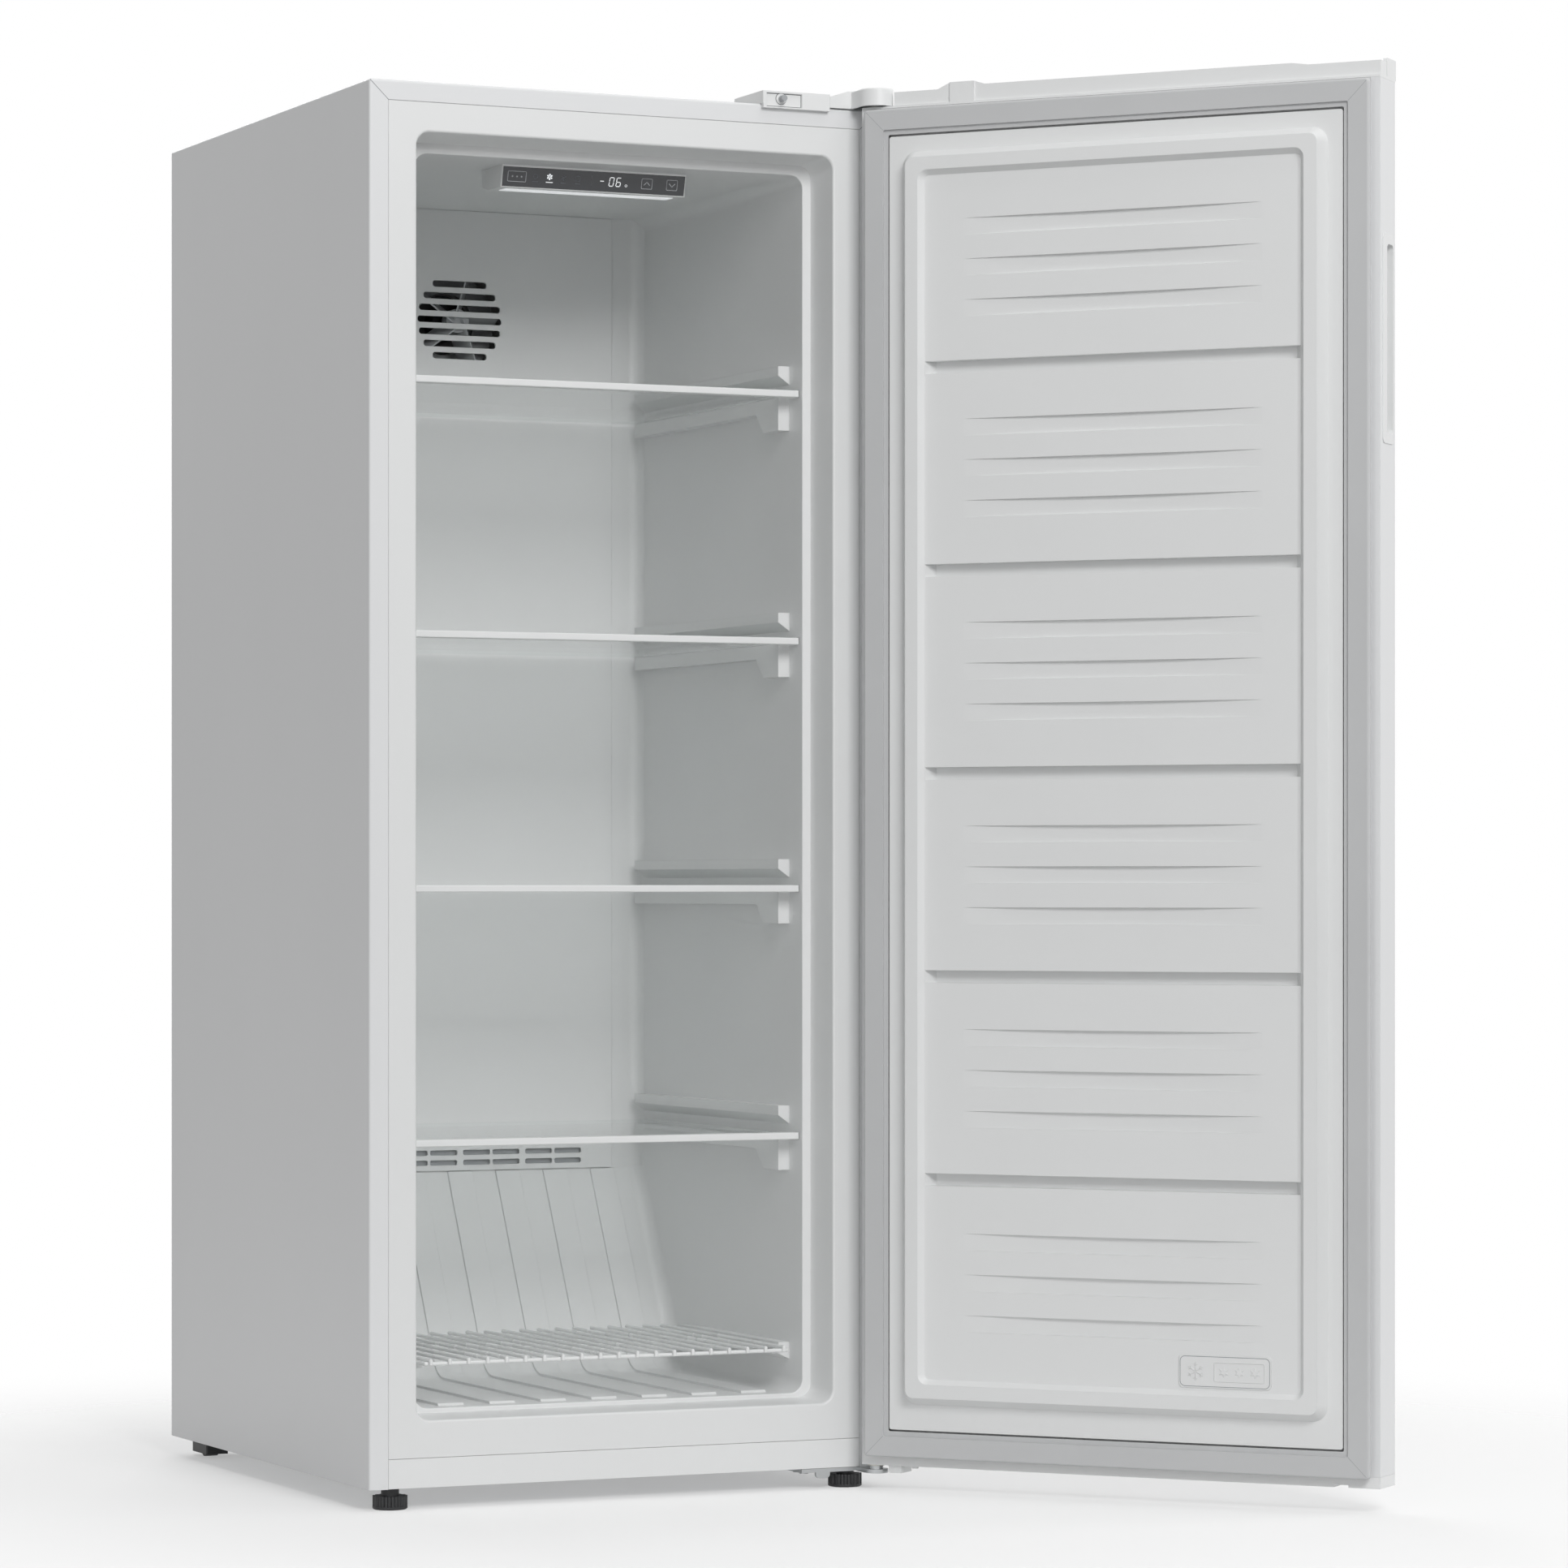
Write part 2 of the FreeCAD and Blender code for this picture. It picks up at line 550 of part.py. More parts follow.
# --- back sheet with stiffening beads -----------------------------------------------------------
inside = inset(s.wrap_gauge)
sheet_low = s.bay_top + s.bay_gauge + 0.2
sheet_top = cab_top - s.wrap_gauge - 2
beads = []
for i in range(5):
    bead_low = s.bead_first + s.bead_pitch * i
    beads.append(slab(f"back_bead{i}", "y", inset(s.bead_side), (bead_low, bead_low + s.bead_height),
                      s.bead_height / 2 - 0.5, (back_face - 0.5, back_face + s.bead_rise)))
back_sheet = prism("back_sheet", "y", [(inside[0], sheet_low), (inside[1], sheet_low),
                                       (inside[1], sheet_top), (inside[0], sheet_top)],
                   (back_face - s.wrap_gauge, back_face))
node("back_panel", fuse("back_panel_sheet", [back_sheet] + beads))

# --- liner --------------------------------------------------------------------------------------
rim_up = (s.rim_sill, cab_top - s.rim_top)
rim_side_in = s.rim_side + s.rim_draft
rim_up_in = (s.rim_sill + s.sill_draft, cab_top - s.rim_top - s.rim_draft)
bay_in = (rim_side_in + s.rim_land, width - rim_side_in - s.rim_land)
floor_z = rim_up_in[0] + s.sill_land
ceiling_z = rim_up_in[1] - s.top_land
cover_face = cab_back - s.cover_back
liner_back = cover_face + s.cover_gauge
bay_front = cab_back - s.bay_length
bay_roof = cab_back - s.roof_length
floor_back = bay_front - s.floor_clear
knee_z = s.bay_top + s.hump_over
rise = (knee_z - floor_z) / (liner_back - floor_back)
hump_cos = trig("cos", slope_angle(rise))
hump_sin = trig("sin", slope_angle(rise))


def grown(limits, amount):
    """Limits moved outwards by an amount."""
    return (limits[0] - amount, limits[1] + amount)


def mouth(name, amount, start, end):
    """The sloping mouth of the liner, grown outwards by an amount."""
    return funnel(name, (grown(inset(s.rim_side), amount), grown(rim_up, amount), s.rim_round + amount, start),
                  (grown(inset(rim_side_in), amount), grown(rim_up_in, amount), s.rim_round + amount, end))


def storage(name, amount, start):
    """The storage space with its hump, grown outwards by an amount."""
    low = floor_z - amount
    foot = floor_back + amount * (1 - hump_cos) / hump_sin
    back = liner_back + amount
    knee = low + (back - foot) * rise
    top = ceiling_z + amount
    points = [(start, low), (foot, low), (back, knee), (back, top), (start, top)]
    across = grown(bay_in, amount)
    body = prism(name, "x", points, across)
    round_body(body, s.hump_blend + amount, lambda edge, middle: runs_along(edge, "x") and (
        near(middle.y, foot) and near(middle.z, low)))

    def corner(edge, middle):
        on_side = near(middle.x, across[0]) or near(middle.x, across[1])
        return on_side and not near(middle.y, start)

    return round_body(body, s.rim_round + amount, corner)


recess_x = inset(s.recess_side)
recess_up = (knee_z + s.recess_step, cab_top - s.recess_drop)
recess_back = liner_back + s.recess_depth
cavity = fuse("liner_cavity", [
    mouth("cavity_mouth", dim(0), s.liner_recess - 0.1, s.rim_depth),
    storage("cavity_storage", dim(0), s.rim_depth - 0.4),
    box("cavity_recess", recess_x, (liner_back - 1, recess_back), recess_up),
])
gauge = s.liner_gauge
toe_line = s.toe_height + s.fit_gap
liner_body = fuse("liner_body", [
    box("liner_flange", inset(s.liner_tuck), (s.wrap_gauge, s.wrap_gauge + gauge),
        (toe_line, cab_top - s.liner_tuck)),
    box("liner_band", inset(s.side_flange + s.fit_gap), (s.liner_recess, s.wrap_gauge + gauge),
        (toe_line, cab_top - s.top_flange - s.fit_gap)),
    mouth("liner_mouth", gauge, s.wrap_gauge + 0.5, s.rim_depth + gauge),
    storage("liner_storage", gauge, s.rim_depth + 0.5),
    box("liner_recess_box", grown(recess_x, gauge), (liner_back, recess_back + gauge), grown(recess_up, gauge)),
])
board_x = (width - s.box_side - s.box_width, width - s.box_side)
pan_x = (s.comp_side + s.comp_radius + s.pan_side, board_x[0] - s.box_space)
drain = ((pan_x[0] + pan_x[1]) / 2, liner_back + s.drain_setback)
drain_hole = rod("drain_hole", "z", drain, s.drain_radius, past((s.bay_top, recess_up[0])))
liner_shell = cut("liner_shell", liner_body, [cavity, drain_hole])

rib_rise = s.floor_rib_rise
rib_foot = floor_back - rib_rise * (1 - hump_cos) / hump_sin
rib_end = cover_face - 0.5
ribs = []
for i in range(-3, 4):
    middle_x = width / 2 + s.floor_rib_pitch * i
    rib_top = floor_z + rib_rise
    reach = rib_top + (rib_end - rib_foot) * rise
    rib = prism(f"floor_rib{i + 3}", "x", [
        (s.floor_rib_start, floor_z - 1), (s.floor_rib_start + 3, rib_top), (rib_foot, rib_top),
        (rib_end, reach), (rib_end + 3, reach), (floor_back + rib_rise, floor_z - 1),
    ], (middle_x - s.floor_rib_width / 2, middle_x + s.floor_rib_width / 2))
    ribs.append(round_body(rib, s.hump_blend - rib_rise, lambda edge, middle: runs_along(edge, "x") and (
        near(middle.y, rib_foot) and near(middle.z, rib_top))))
liner_ribbed = fuse("liner_ribbed", [liner_shell, common("floor_ribs", fuse("floor_rib_set", ribs), liner_body)])
doc.recompute()
lip = doc.addObject("Part::Fillet", "liner")
lip.Base = liner_ribbed


def inside_of(middle, across, up, slack):
    """Whether a point lies within limits on X and Z, with some slack."""
    (left, right), (low, high) = grown(across, slack), grown(up, slack)
    return float(left) < middle.x < float(right) and float(low) < middle.z < float(high)


def lip_edge(edge, middle):
    """The edge round the mouth where the front band turns in."""
    return near(middle.y, s.liner_recess) and inside_of(middle, inset(s.rim_side), rim_up, s.rim_lip)


def land_edge(edge, middle):
    """The edge where the land meets the walls."""
    return near(middle.y, s.rim_depth) and inside_of(middle, bay_in, (floor_z, ceiling_z), s.land_lip)


lip.Edges = [
    (int(name[4:]), float(radius), float(radius))
    for test, radius in ((lip_edge, s.rim_lip), (land_edge, s.land_lip))
    for name in edges_where(liner_ribbed.Shape, test)
]
node("inner_liner", lip)

# --- sheet over the compressor bay, base tray and toe panel -------------------------------------
bay_gauge = s.bay_gauge
sheet_front = back_face - s.wrap_gauge
bay_outside = [(bay_front - bay_gauge, s.bay_wall + bay_gauge * 0.3),
               (bay_roof - bay_gauge * 0.6, s.bay_top + bay_gauge)]
node("step_panel", cut("step_sheet", prism("step_sheet_blank", "x", [
    (bay_front, s.tray_gauge), (bay_front, s.bay_wall), (bay_roof, s.bay_top),
    (sheet_front, s.bay_top), (sheet_front, s.bay_top + bay_gauge), bay_outside[1],
    bay_outside[0], (bay_front - bay_gauge, s.tray_gauge),
], inside), [rod("step_drain", "z", drain, s.drain_radius, past((s.bay_wall, s.bay_top + bay_gauge)))]))

foot_spots = [(s.foot_side, s.foot_back), (width - s.foot_side, s.foot_back)]
tray = s.tray_gauge
tray_span = (floor_level, tray)
tray_front = s.toe_set + s.toe_gauge + 0.6
stud_hole = s.stud_radius + s.stud_gap
node("base_tray", cut("tray", prism("tray_blank", "z", [
    (inside[0], tray_front), (inside[1], tray_front), (inside[1], sheet_front), (inside[0], sheet_front),
], tray_span), screw_holes("tray_foot", foot_spots, stud_hole, past(tray_span))
    + screw_holes("tray_screw", low_screw_spots, screw_hole, past(tray_span))))

toe_in = s.toe_set + s.toe_gauge
node("toe_kick", prism("toe_panel", "x", [
    (s.toe_set, s.fit_gap), (toe_in, s.fit_gap), (toe_in, tray), (s.toe_lip, tray),
    (s.toe_lip, tray + s.toe_gauge), (toe_in, tray + s.toe_gauge), (toe_in, s.toe_height - s.toe_gauge),
    (s.toe_lip, s.toe_height - s.toe_gauge), (s.toe_lip, s.toe_height), (s.toe_set, s.toe_height),
], inset(s.side_flange + s.fit_gap)))

# --- cabinet foam -------------------------------------------------------------------------------
whole_x = past(inset(dim(0)))
under = floor_level - 2 * SPARE
behind = cab_back + SPARE
screw_end = cab_top - s.pin_length
node("cabinet_foam", cut("foam", wrap_inner, [
    liner_body,
    cavity,
    prism("foam_bay", "x", [
        (bay_front - bay_gauge, under), *bay_outside, (behind, s.bay_top + bay_gauge), (behind, under),
    ], whole_x),
    box("foam_toe", whole_x, (front_face - SPARE, s.toe_space), (under, toe_line + 1.1)),
    box("foam_tray", whole_x, (front_face - SPARE, behind), (under, tray)),
    box("foam_back", whole_x, (sheet_front, behind), (under, cab_top + SPARE)),
    rod("foam_drain", "z", drain, s.drain_radius, past((s.bay_wall, recess_up[0]))),
] + screw_holes("foam_screw", top_screw_spots, screw_hole, (screw_end - 2, cab_top + SPARE))))

# --- shelf supports -----------------------------------------------------------------------------
shelf_tops = [s.shelf_top - s.shelf_pitch * i for i in range(4)]
shelf_back = cover_face - s.shelf_clear
ledge_rest = s.wire_level - s.wire_rod / 2 - s.slide_gap


def supports(label, right):
    """Blocks, rails and keepers of the four shelves and the wire shelf's ledge on one side."""
    wall = bay_in[1] if right else bay_in[0]

    def away(amount):
        return wall - amount if right else wall + amount

    def span(near_wall, far):
        a, b = away(near_wall), away(far)
        return (b, a) if right else (a, b)

    pieces = []
    for i, top in enumerate(shelf_tops):
        rest = top - s.glass_inset - s.glass_gauge - s.slide_gap
        pieces.append(prism(f"{label}_rail{i}", "x", [
            (s.rail_front, rest), (s.rail_front, top - s.block_drop),
            (s.rail_front + s.rail_foot, top - s.block_drop),
            (s.rail_front + s.rail_foot + s.rail_slope, top - s.rail_drop),
            (shelf_back, top - s.rail_drop), (shelf_back, rest),
        ], span(dim(0), s.rail_width)))
        pieces.append(prism(f"{label}_keeper{i}", "y", [
            (away(dim(0)), top + s.keeper_rise), (away(dim(0)), top + s.keeper_outer),
            (away(s.rail_width), top + s.keeper_inner), (away(s.rail_width), top + s.keeper_rise),
        ], (s.rail_front, shelf_back)))
    step = s.rail_width - 0.4
    pieces.append(prism(f"{label}_ledge", "y", [
        (away(dim(0)), ledge_rest + s.ledge_rise), (away(dim(0)), ledge_rest - s.ledge_root),
        (away(s.rail_width), ledge_rest - s.ledge_gauge), (away(s.ledge_width), ledge_rest - s.ledge_gauge),
        (away(s.ledge_width), ledge_rest), (away(step), ledge_rest), (away(step), ledge_rest + s.ledge_rise),
    ], (s.rail_front, floor_back - s.ledge_back)))
    node(label, fuse(label + "_set", pieces))


supports("left_supports", False)
supports("right_supports", True)

# --- shelves ------------------------------------------------------------------------------------
shelf_x = grown(bay_in, -s.shelf_gap)
glass_y = (s.shelf_front + s.trim_round, shelf_back)
trim_y = (s.shelf_front, s.shelf_front + s.trim_depth)
for i, top in enumerate(shelf_tops):
    glass_up = (top - s.glass_inset - s.glass_gauge, top - s.glass_inset)
    node(f"shelf_glass_{i + 1}", slab(f"glass{i}", "z", shelf_x, glass_y, s.glass_corner, glass_up))
    bottom = top - s.trim_height
    trim = round_body(prism(f"trim_blank{i}", "x", [
        (trim_y[0], bottom), (trim_y[1], bottom), (trim_y[1], top), (trim_y[0], top),
    ], shelf_x), s.trim_round * 0.75, lambda edge, middle: runs_along(edge, "x") and near(middle.y, trim_y[0]))
    node(f"shelf_trim_{i + 1}", cut(f"trim{i}", trim, [
        slab(f"trim_slot{i}", "z", shelf_x, glass_y, s.glass_corner, glass_up),
        box(f"trim_relief{i}", past(shelf_x, 2), (trim_y[1] - s.trim_round, trim_y[1] + 3), glass_up),
    ]))

# --- wire shelf ---------------------------------------------------------------------------------
WIRES = 20
wire_x = inset(s.wire_side)
wire_y = (s.wire_front, floor_back + s.wire_rear)
frame_z = s.wire_level
bar, wire = s.wire_bar / 2, s.wire_rod / 2
top_z = frame_z + bar + wire - s.wire_sink
nose_y = wire_y[0] - bar - wire + s.wire_sink
wires = [rod(f"wire_bar{i}", "x", (y, frame_z), bar, wire_x)
         for i, y in enumerate((wire_y[0], (wire_y[0] + wire_y[1]) / 2, wire_y[1]))]
wires += [rod(f"wire_side{i}", "y", (x, frame_z), wire, wire_y) for i, x in enumerate(wire_x)]
for i in range(WIRES):
    middle_x = width / 2 + s.wire_pitch * (i - (WIRES - 1) / 2)
    wires += tube(f"wire{i}", [
        (middle_x, nose_y, frame_z - s.wire_drop), (middle_x, nose_y, top_z), (middle_x, wire_y[1] + 1, top_z),
    ], wire)
for i, (x, y) in enumerate([(x, y) for x in wire_x for y in wire_y]):
    corner = doc.addObject("Part::Sphere", f"wire_corner{i}")
    bind(corner, "Radius", bar)
    place(corner, x, y, frame_z)
    wires.append(corner)
node("wire_shelf", fuse("wire_grid", wires))

# --- evaporator cover with its grilles ----------------------------------------------------------
SLOT_ROWS = 2
SLOT_PAIRS = 4
cover_x = inset(s.cover_side)
cover_low = knee_z + s.cover_foot
through_cover = past((cover_face, liner_back), 1)
slots = []
for row in range(SLOT_ROWS):
    for pair in range(SLOT_PAIRS):
        for half in range(2):
            left = cover_x[0] + s.slot_start + s.slot_pair * pair + (s.slot_width + s.slot_rib) * half
            low = cover_low + s.slot_lift + s.slot_rise * row
            slots.append(slab(f"cover_slot{row}{pair}{half}", "y", (left, left + s.slot_width),
                              (low, low + s.slot_height), s.slot_round, through_cover))
fan_x = width / 2
fan_z = cab_top - s.fan_drop
for i in range(-3, 4):
    rung = s.fan_slot_pitch * i
    half = root(s.fan_radius * s.fan_radius - rung * rung) - 3
    slots.append(slab(f"fan_slot{i + 3}", "y", (fan_x - half, fan_x + half),
                      (fan_z + rung - s.fan_slot / 2, fan_z + rung + s.fan_slot / 2),
                      s.fan_slot / 2 - 0.5, through_cover))
node("evaporator_cover", cut("cover", slab("cover_plate", "y", cover_x, (cover_low, ceiling_z - s.cover_gap),
                                           s.cover_corner, (cover_face, liner_back)), slots))

# --- evaporator, heater and fan -----------------------------------------------------------------
FINS = 22
PIPE_ROWS = 6
coil_y = liner_back + s.coil_centre
coil_deep = (coil_y - s.coil_depth / 2, coil_y + s.coil_depth / 2)
coil_up = (s.coil_base, s.coil_base + s.coil_height)
fins = [box("coil_end0", (recess_x[0], recess_x[0] + s.coil_plate), coil_deep, coil_up),
        box("coil_end1", (recess_x[1] - s.coil_plate, recess_x[1]), coil_deep, coil_up)]
for i in range(FINS):
    left = width / 2 + s.fin_pitch * (i - (FINS - 1) / 2)
    fins.append(box(f"fin{i}", (left, left + s.fin_gauge), past(coil_deep, -2), past(coil_up, -4)))
for row in range(PIPE_ROWS):
    for side in (-1, 1):
        fins.append(rod(f"coil_pipe{row}{side + 1}", "x", (
            coil_y + s.coil_depth * 0.24 * side, coil_up[0] + s.coil_first + s.coil_row * row),
                        s.coil_pipe / 2, recess_x))
node("evaporator", fuse("coil", fins))
heater = (coil_y, coil_up[0] - s.heater_drop)
node("defrost_heater", fuse("heater", [
    rod("heater_tube", "x", heater, s.heater_pipe / 2, recess_x),
    rod("heater_cap0", "x", heater, s.heater_pipe, (recess_x[0], recess_x[0] + s.heater_cap)),
    rod("heater_cap1", "x", heater, s.heater_pipe, (recess_x[1] - s.heater_cap, recess_x[1])),
]))
fan = (fan_x, fan_z)
motor_y = (recess_back - s.motor_foot - s.motor_length, recess_back - s.motor_foot)
node("fan_motor", cut("motor", fuse("motor_can", [
    rod("motor_barrel", "y", fan, s.motor_radius, motor_y),
    rod("motor_mount", "y", fan, s.motor_radius + s.motor_flange, (motor_y[1] - 1, recess_back)),
]), [rod("motor_bore", "y", fan, s.shaft_radius + s.shaft_gap, (motor_y[0] - 1, motor_y[0] + s.shaft_seat + 2))]))
BLADES = 5
blade_y = (liner_back + s.blade_gap, liner_back + s.blade_gap + s.blade_depth)
hub = [
    rod("hub", "y", fan, s.blade_hub, blade_y),
    rod("fan_shaft", "y", fan, s.shaft_radius, (blade_y[1] - 1, motor_y[0] + s.shaft_seat)),
]
for i in range(BLADES):
    blade = doc.addObject("Part::Box", f"fan_blade{i}")
    bind(blade, "Length", s.fan_radius - s.blade_tip)
    bind(blade, "Width", s.blade_gauge)
    bind(blade, "Height", s.blade_chord)
    spin = FreeCAD.Rotation(FreeCAD.Vector(0, 1, 0), 360 / BLADES * i)
    turn = spin.multiply(FreeCAD.Rotation(FreeCAD.Vector(1, 0, 0), float(s.blade_twist)))
    shift = turn.multVec(FreeCAD.Vector(0, -float(s.blade_gauge) / 2, -float(s.blade_chord) / 2))
    blade.Placement = FreeCAD.Placement(FreeCAD.Vector(), turn)
    place(blade, fan_x + shift.x, (blade_y[0] + blade_y[1]) / 2 + shift.y, fan_z + shift.z)
    hub.append(blade)
node("fan_blade", fuse("fan", hub))

# --- control panel under the ceiling ------------------------------------------------------------
panel_left = (width - s.panel_width) / 2 + s.panel_shift
panel_x = (panel_left, panel_left + s.panel_width)
panel_low = ceiling_z - s.panel_height
panel_back = s.panel_front + s.panel_depth


def on_front(down, inward):
    """A point of the leaning front face, so far down it and so far behind it."""
    share = down / s.panel_height
    return (s.panel_front + s.panel_lean * share + inward, ceiling_z - down)


fascia_down = (s.fascia_top, s.panel_height - s.fascia_low)
fascia_points = [on_front(fascia_down[0], dim(0)), on_front(fascia_down[1], dim(0)),
                 on_front(fascia_down[1], s.fascia_gauge), on_front(fascia_down[0], s.fascia_gauge)]
fascia_x = grown(panel_x, -s.fascia_side)
lens_x = grown(panel_x, -s.lens_side)
lens_front = s.panel_front + s.panel_lean + s.lens_front
lens_y = (lens_front, lens_front + s.lens_depth)
housing = round_body(prism("housing_blank", "x", [
    (s.panel_front, ceiling_z), (s.panel_front + s.panel_lean, panel_low), (panel_back - s.panel_tail, panel_low),
    (panel_back, ceiling_z - s.panel_rear), (panel_back, ceiling_z),
], panel_x), s.panel_round, lambda edge, middle: middle.z < float(ceiling_z) - 0.5 and (
    near(middle.x, panel_x[0]) or near(middle.x, panel_x[1])))
node("panel_housing", cut("housing", housing, [
    prism("fascia_seat", "x", fascia_points, fascia_x),
    box("housing_hollow", grown(panel_x, -s.panel_wall - 1), (s.panel_front + s.lens_side, panel_back - 8),
        (panel_low + s.panel_wall, ceiling_z - s.panel_roof)),
    box("lens_hole", lens_x, lens_y, past((panel_low, panel_low + s.panel_wall), 0.5)),
]))
node("display_fascia", prism("fascia", "x", fascia_points, fascia_x))
node("lamp_lens", slab("lens", "z", lens_x, lens_y, dim(0.6), (panel_low - s.lens_sink, panel_low + s.panel_wall)))
board_z = ceiling_z - s.panel_roof
node("lamp_board", slab("board", "z", past(lens_x, -4), past(lens_y, -2), dim(1), (board_z - s.board_gauge, board_z)))
sensor_x = (bay_in[1] - s.sensor_side - s.sensor_length, bay_in[1] - s.sensor_side)
clip_x = (sensor_x[0] + sensor_x[1] - s.clip_width) / 2
node("temperature_sensor", fuse("sensor", [
    rod("sensor_bulb", "x", (s.sensor_back, ceiling_z - s.sensor_drop), s.sensor_radius, sensor_x),
    box("sensor_clip", (clip_x, clip_x + s.clip_width),
        (s.sensor_back - s.clip_depth / 2, s.sensor_back + s.clip_depth / 2), (ceiling_z - s.clip_drop, ceiling_z)),
]))

# --- compressor bay -----------------------------------------------------------------------------
comp_x = s.comp_side
comp_y = cab_back - s.comp_rear
comp = (comp_x, comp_y)
comp_low = s.comp_base
comp_top = comp_low + s.comp_height
plate_z = (comp_low - s.plate_gauge, comp_low)
spots = [(comp_x + s.grommet_side * i, comp_y + s.grommet_back * k) for i in (-1, 1) for k in (-1, 1)]
barrel = s.comp_radius
shoulder = comp_top - s.comp_dome
crown = shoulder + s.comp_crown
discharge = (comp_x + s.stub_side, comp_y - 21)
suction = (comp_x - s.stub_side, comp_y - 11)
stub_z = (shoulder, comp_top + s.stub_rise)
node("compressor", cut("compressor_shell", fuse("compressor_pot", [
    rod("pot_barrel", "z", comp, barrel, (comp_low + s.comp_taper, shoulder)),
    rod("pot_seam", "z", comp, barrel + s.seam_width, (shoulder - s.seam_height * 6, shoulder - s.seam_height * 5)),
    cone("pot_base", comp, (barrel - 14, barrel), (comp_low - 0.5, comp_low + s.comp_taper)),
    cone("pot_dome", comp, (barrel, barrel - 9), (shoulder, crown)),
    cone("pot_crown", comp, (barrel - 9, barrel - 32), (crown, comp_top)),
    slab("pot_plate", "z", (comp_x - s.plate_side, comp_x + s.plate_side),
         (comp_y - s.plate_back, comp_y + s.plate_back), dim(8), plate_z),
    rod("pot_discharge", "z", discharge, s.tube_radius + 1.4, stub_z),
    rod("pot_suction", "z", suction, s.tube_radius + 2.4, stub_z),
]), [rod(f"plate_hole{i}", "z", spot, s.grommet_neck, past(plate_z, 1)) for i, spot in enumerate(spots)]))
grommets = []
for i, spot in enumerate(spots):
    grommets += [
        rod(f"grommet{i}", "z", spot, s.grommet_radius, (tray, plate_z[0])),
        rod(f"grommet_neck{i}", "z", spot, s.grommet_neck, past(plate_z, 0)),
        rod(f"grommet_cap{i}", "z", spot, s.grommet_cap, (plate_z[1], plate_z[1] + s.plate_gauge)),
    ]
node("compressor_grommets", fuse("grommet_set", grommets))
relay_left = comp_x + barrel - s.relay_bite
relay_z = (s.relay_low, s.relay_low + s.relay_height)
node("start_relay", cut("relay", slab("relay_box", "z", (relay_left, relay_left + s.relay_depth),
                                      (comp_y - s.relay_width / 2, comp_y + s.relay_width / 2), dim(3), relay_z), [
    rod("relay_saddle", "z", comp, barrel, past(relay_z))]))
node("discharge_tube", fuse("discharge", tube("discharge_run", [
    (*discharge, stub_z[1]), (*discharge, s.discharge_level), (inside[1], discharge[1], s.discharge_level),
], s.tube_radius)))
node("suction_tube", fuse("suction", tube("suction_run", [
    (*suction, stub_z[1]), (*suction, s.suction_level), (s.suction_side, suction[1], s.suction_level),
    (s.suction_side, suction[1], s.bay_top),
], s.tube_radius + 1)))
rear_cover = (cab_back - s.grille_set - s.grille_gauge, cab_back - s.grille_set)
drier = (drain[0] - s.drier_side, cab_back - s.drier_back)
drier_z = (s.drier_low, s.drier_low + s.drier_length)
drier_end = s.capillary_radius + 1
outlet_y = bay_front + s.drier_back
node("filter_drier", fuse("drier", [
    rod("drier_can", "z", drier, s.drier_radius, grown(drier_z, -s.drier_taper)),
    cone("drier_bottom", drier, (drier_end, s.drier_radius), (drier_z[0], drier_z[0] + s.drier_taper)),
    cone("drier_head", drier, (s.drier_radius, drier_end), (drier_z[1] - s.drier_taper, drier_z[1])),
    rod("drier_inlet", "z", drier, s.capillary_radius + 0.5, (drier_z[1] - 2, s.bay_top)),
] + tube("drier_outlet", [
    (*drier, drier_z[0] + 2), (*drier, s.drier_outlet), (drier[0], outlet_y, s.drier_outlet),
    (inside[1], outlet_y, s.drier_outlet),
], s.capillary_radius)))
pan_y = (bay_front + s.pan_front, rear_cover[0] - s.pan_clear)
node("drain_pan", cut("pan", slab("pan_block", "z", pan_x, pan_y, s.pan_corner, (tray, tray + s.pan_height)), [
    slab("pan_space", "z", grown(pan_x, -s.pan_wall), grown(pan_y, -s.pan_wall), s.pan_corner - s.pan_wall,
         (tray + s.pan_wall, tray + s.pan_height * 2))]))
node("drain_tube", cut("drain", fuse("drain_pipe", [
    rod("drain_run", "z", drain, s.drain_radius, (s.drain_end, recess_up[0] + 0.5)),
    rod("drain_collar", "z", drain, s.drain_radius + SPARE, (recess_up[0], recess_up[0] + s.drain_wall)),
]), [rod("drain_bore", "z", drain, s.drain_radius - s.drain_wall, past((s.drain_end, recess_up[0])))]))
board_y = (rear_cover[0] - s.box_gap - s.box_depth, rear_cover[0] - s.box_gap)
node("control_box", slab("board_box", "z", board_x, board_y, dim(4), (tray, s.box_top)))
inlet = (width - s.inlet_side, s.inlet_level)
louvres = []
for row in range(8):
    for side in range(2):
        left = s.louvre_side + (s.louvre_width + s.louvre_gap) * side
        low = s.louvre_first + s.louvre_pitch * row
        louvres.append(slab(f"louvre{row}{side}", "y", (left, left + s.louvre_width), (low, low + s.louvre_height),
                            s.louvre_height / 2 - 0.1, past(rear_cover)))
cover_blank = box("bay_cover", inside, rear_cover, (tray, s.bay_top - 0.5))
node("compressor_cover", cut("bay_grille", cover_blank, louvres + [
    rod("inlet_hole", "y", inlet, s.inlet_neck, past(rear_cover))]))
node("mains_inlet", cut("inlet_ring", fuse("inlet_body", [
    rod("inlet_flange", "y", inlet, s.inlet_flange, (rear_cover[1], rear_cover[1] + s.inlet_lip)),
    rod("inlet_neck", "y", inlet, s.inlet_neck, (rear_cover[0] - s.inlet_tail, rear_cover[1] + 1)),
    rod("inlet_boss", "y", inlet, s.inlet_boss, (rear_cover[1] + 1, rear_cover[1] + s.inlet_rise)),
]), [rod("inlet_bore", "y", inlet, s.inlet_radius, past(rear_cover, 12))]))

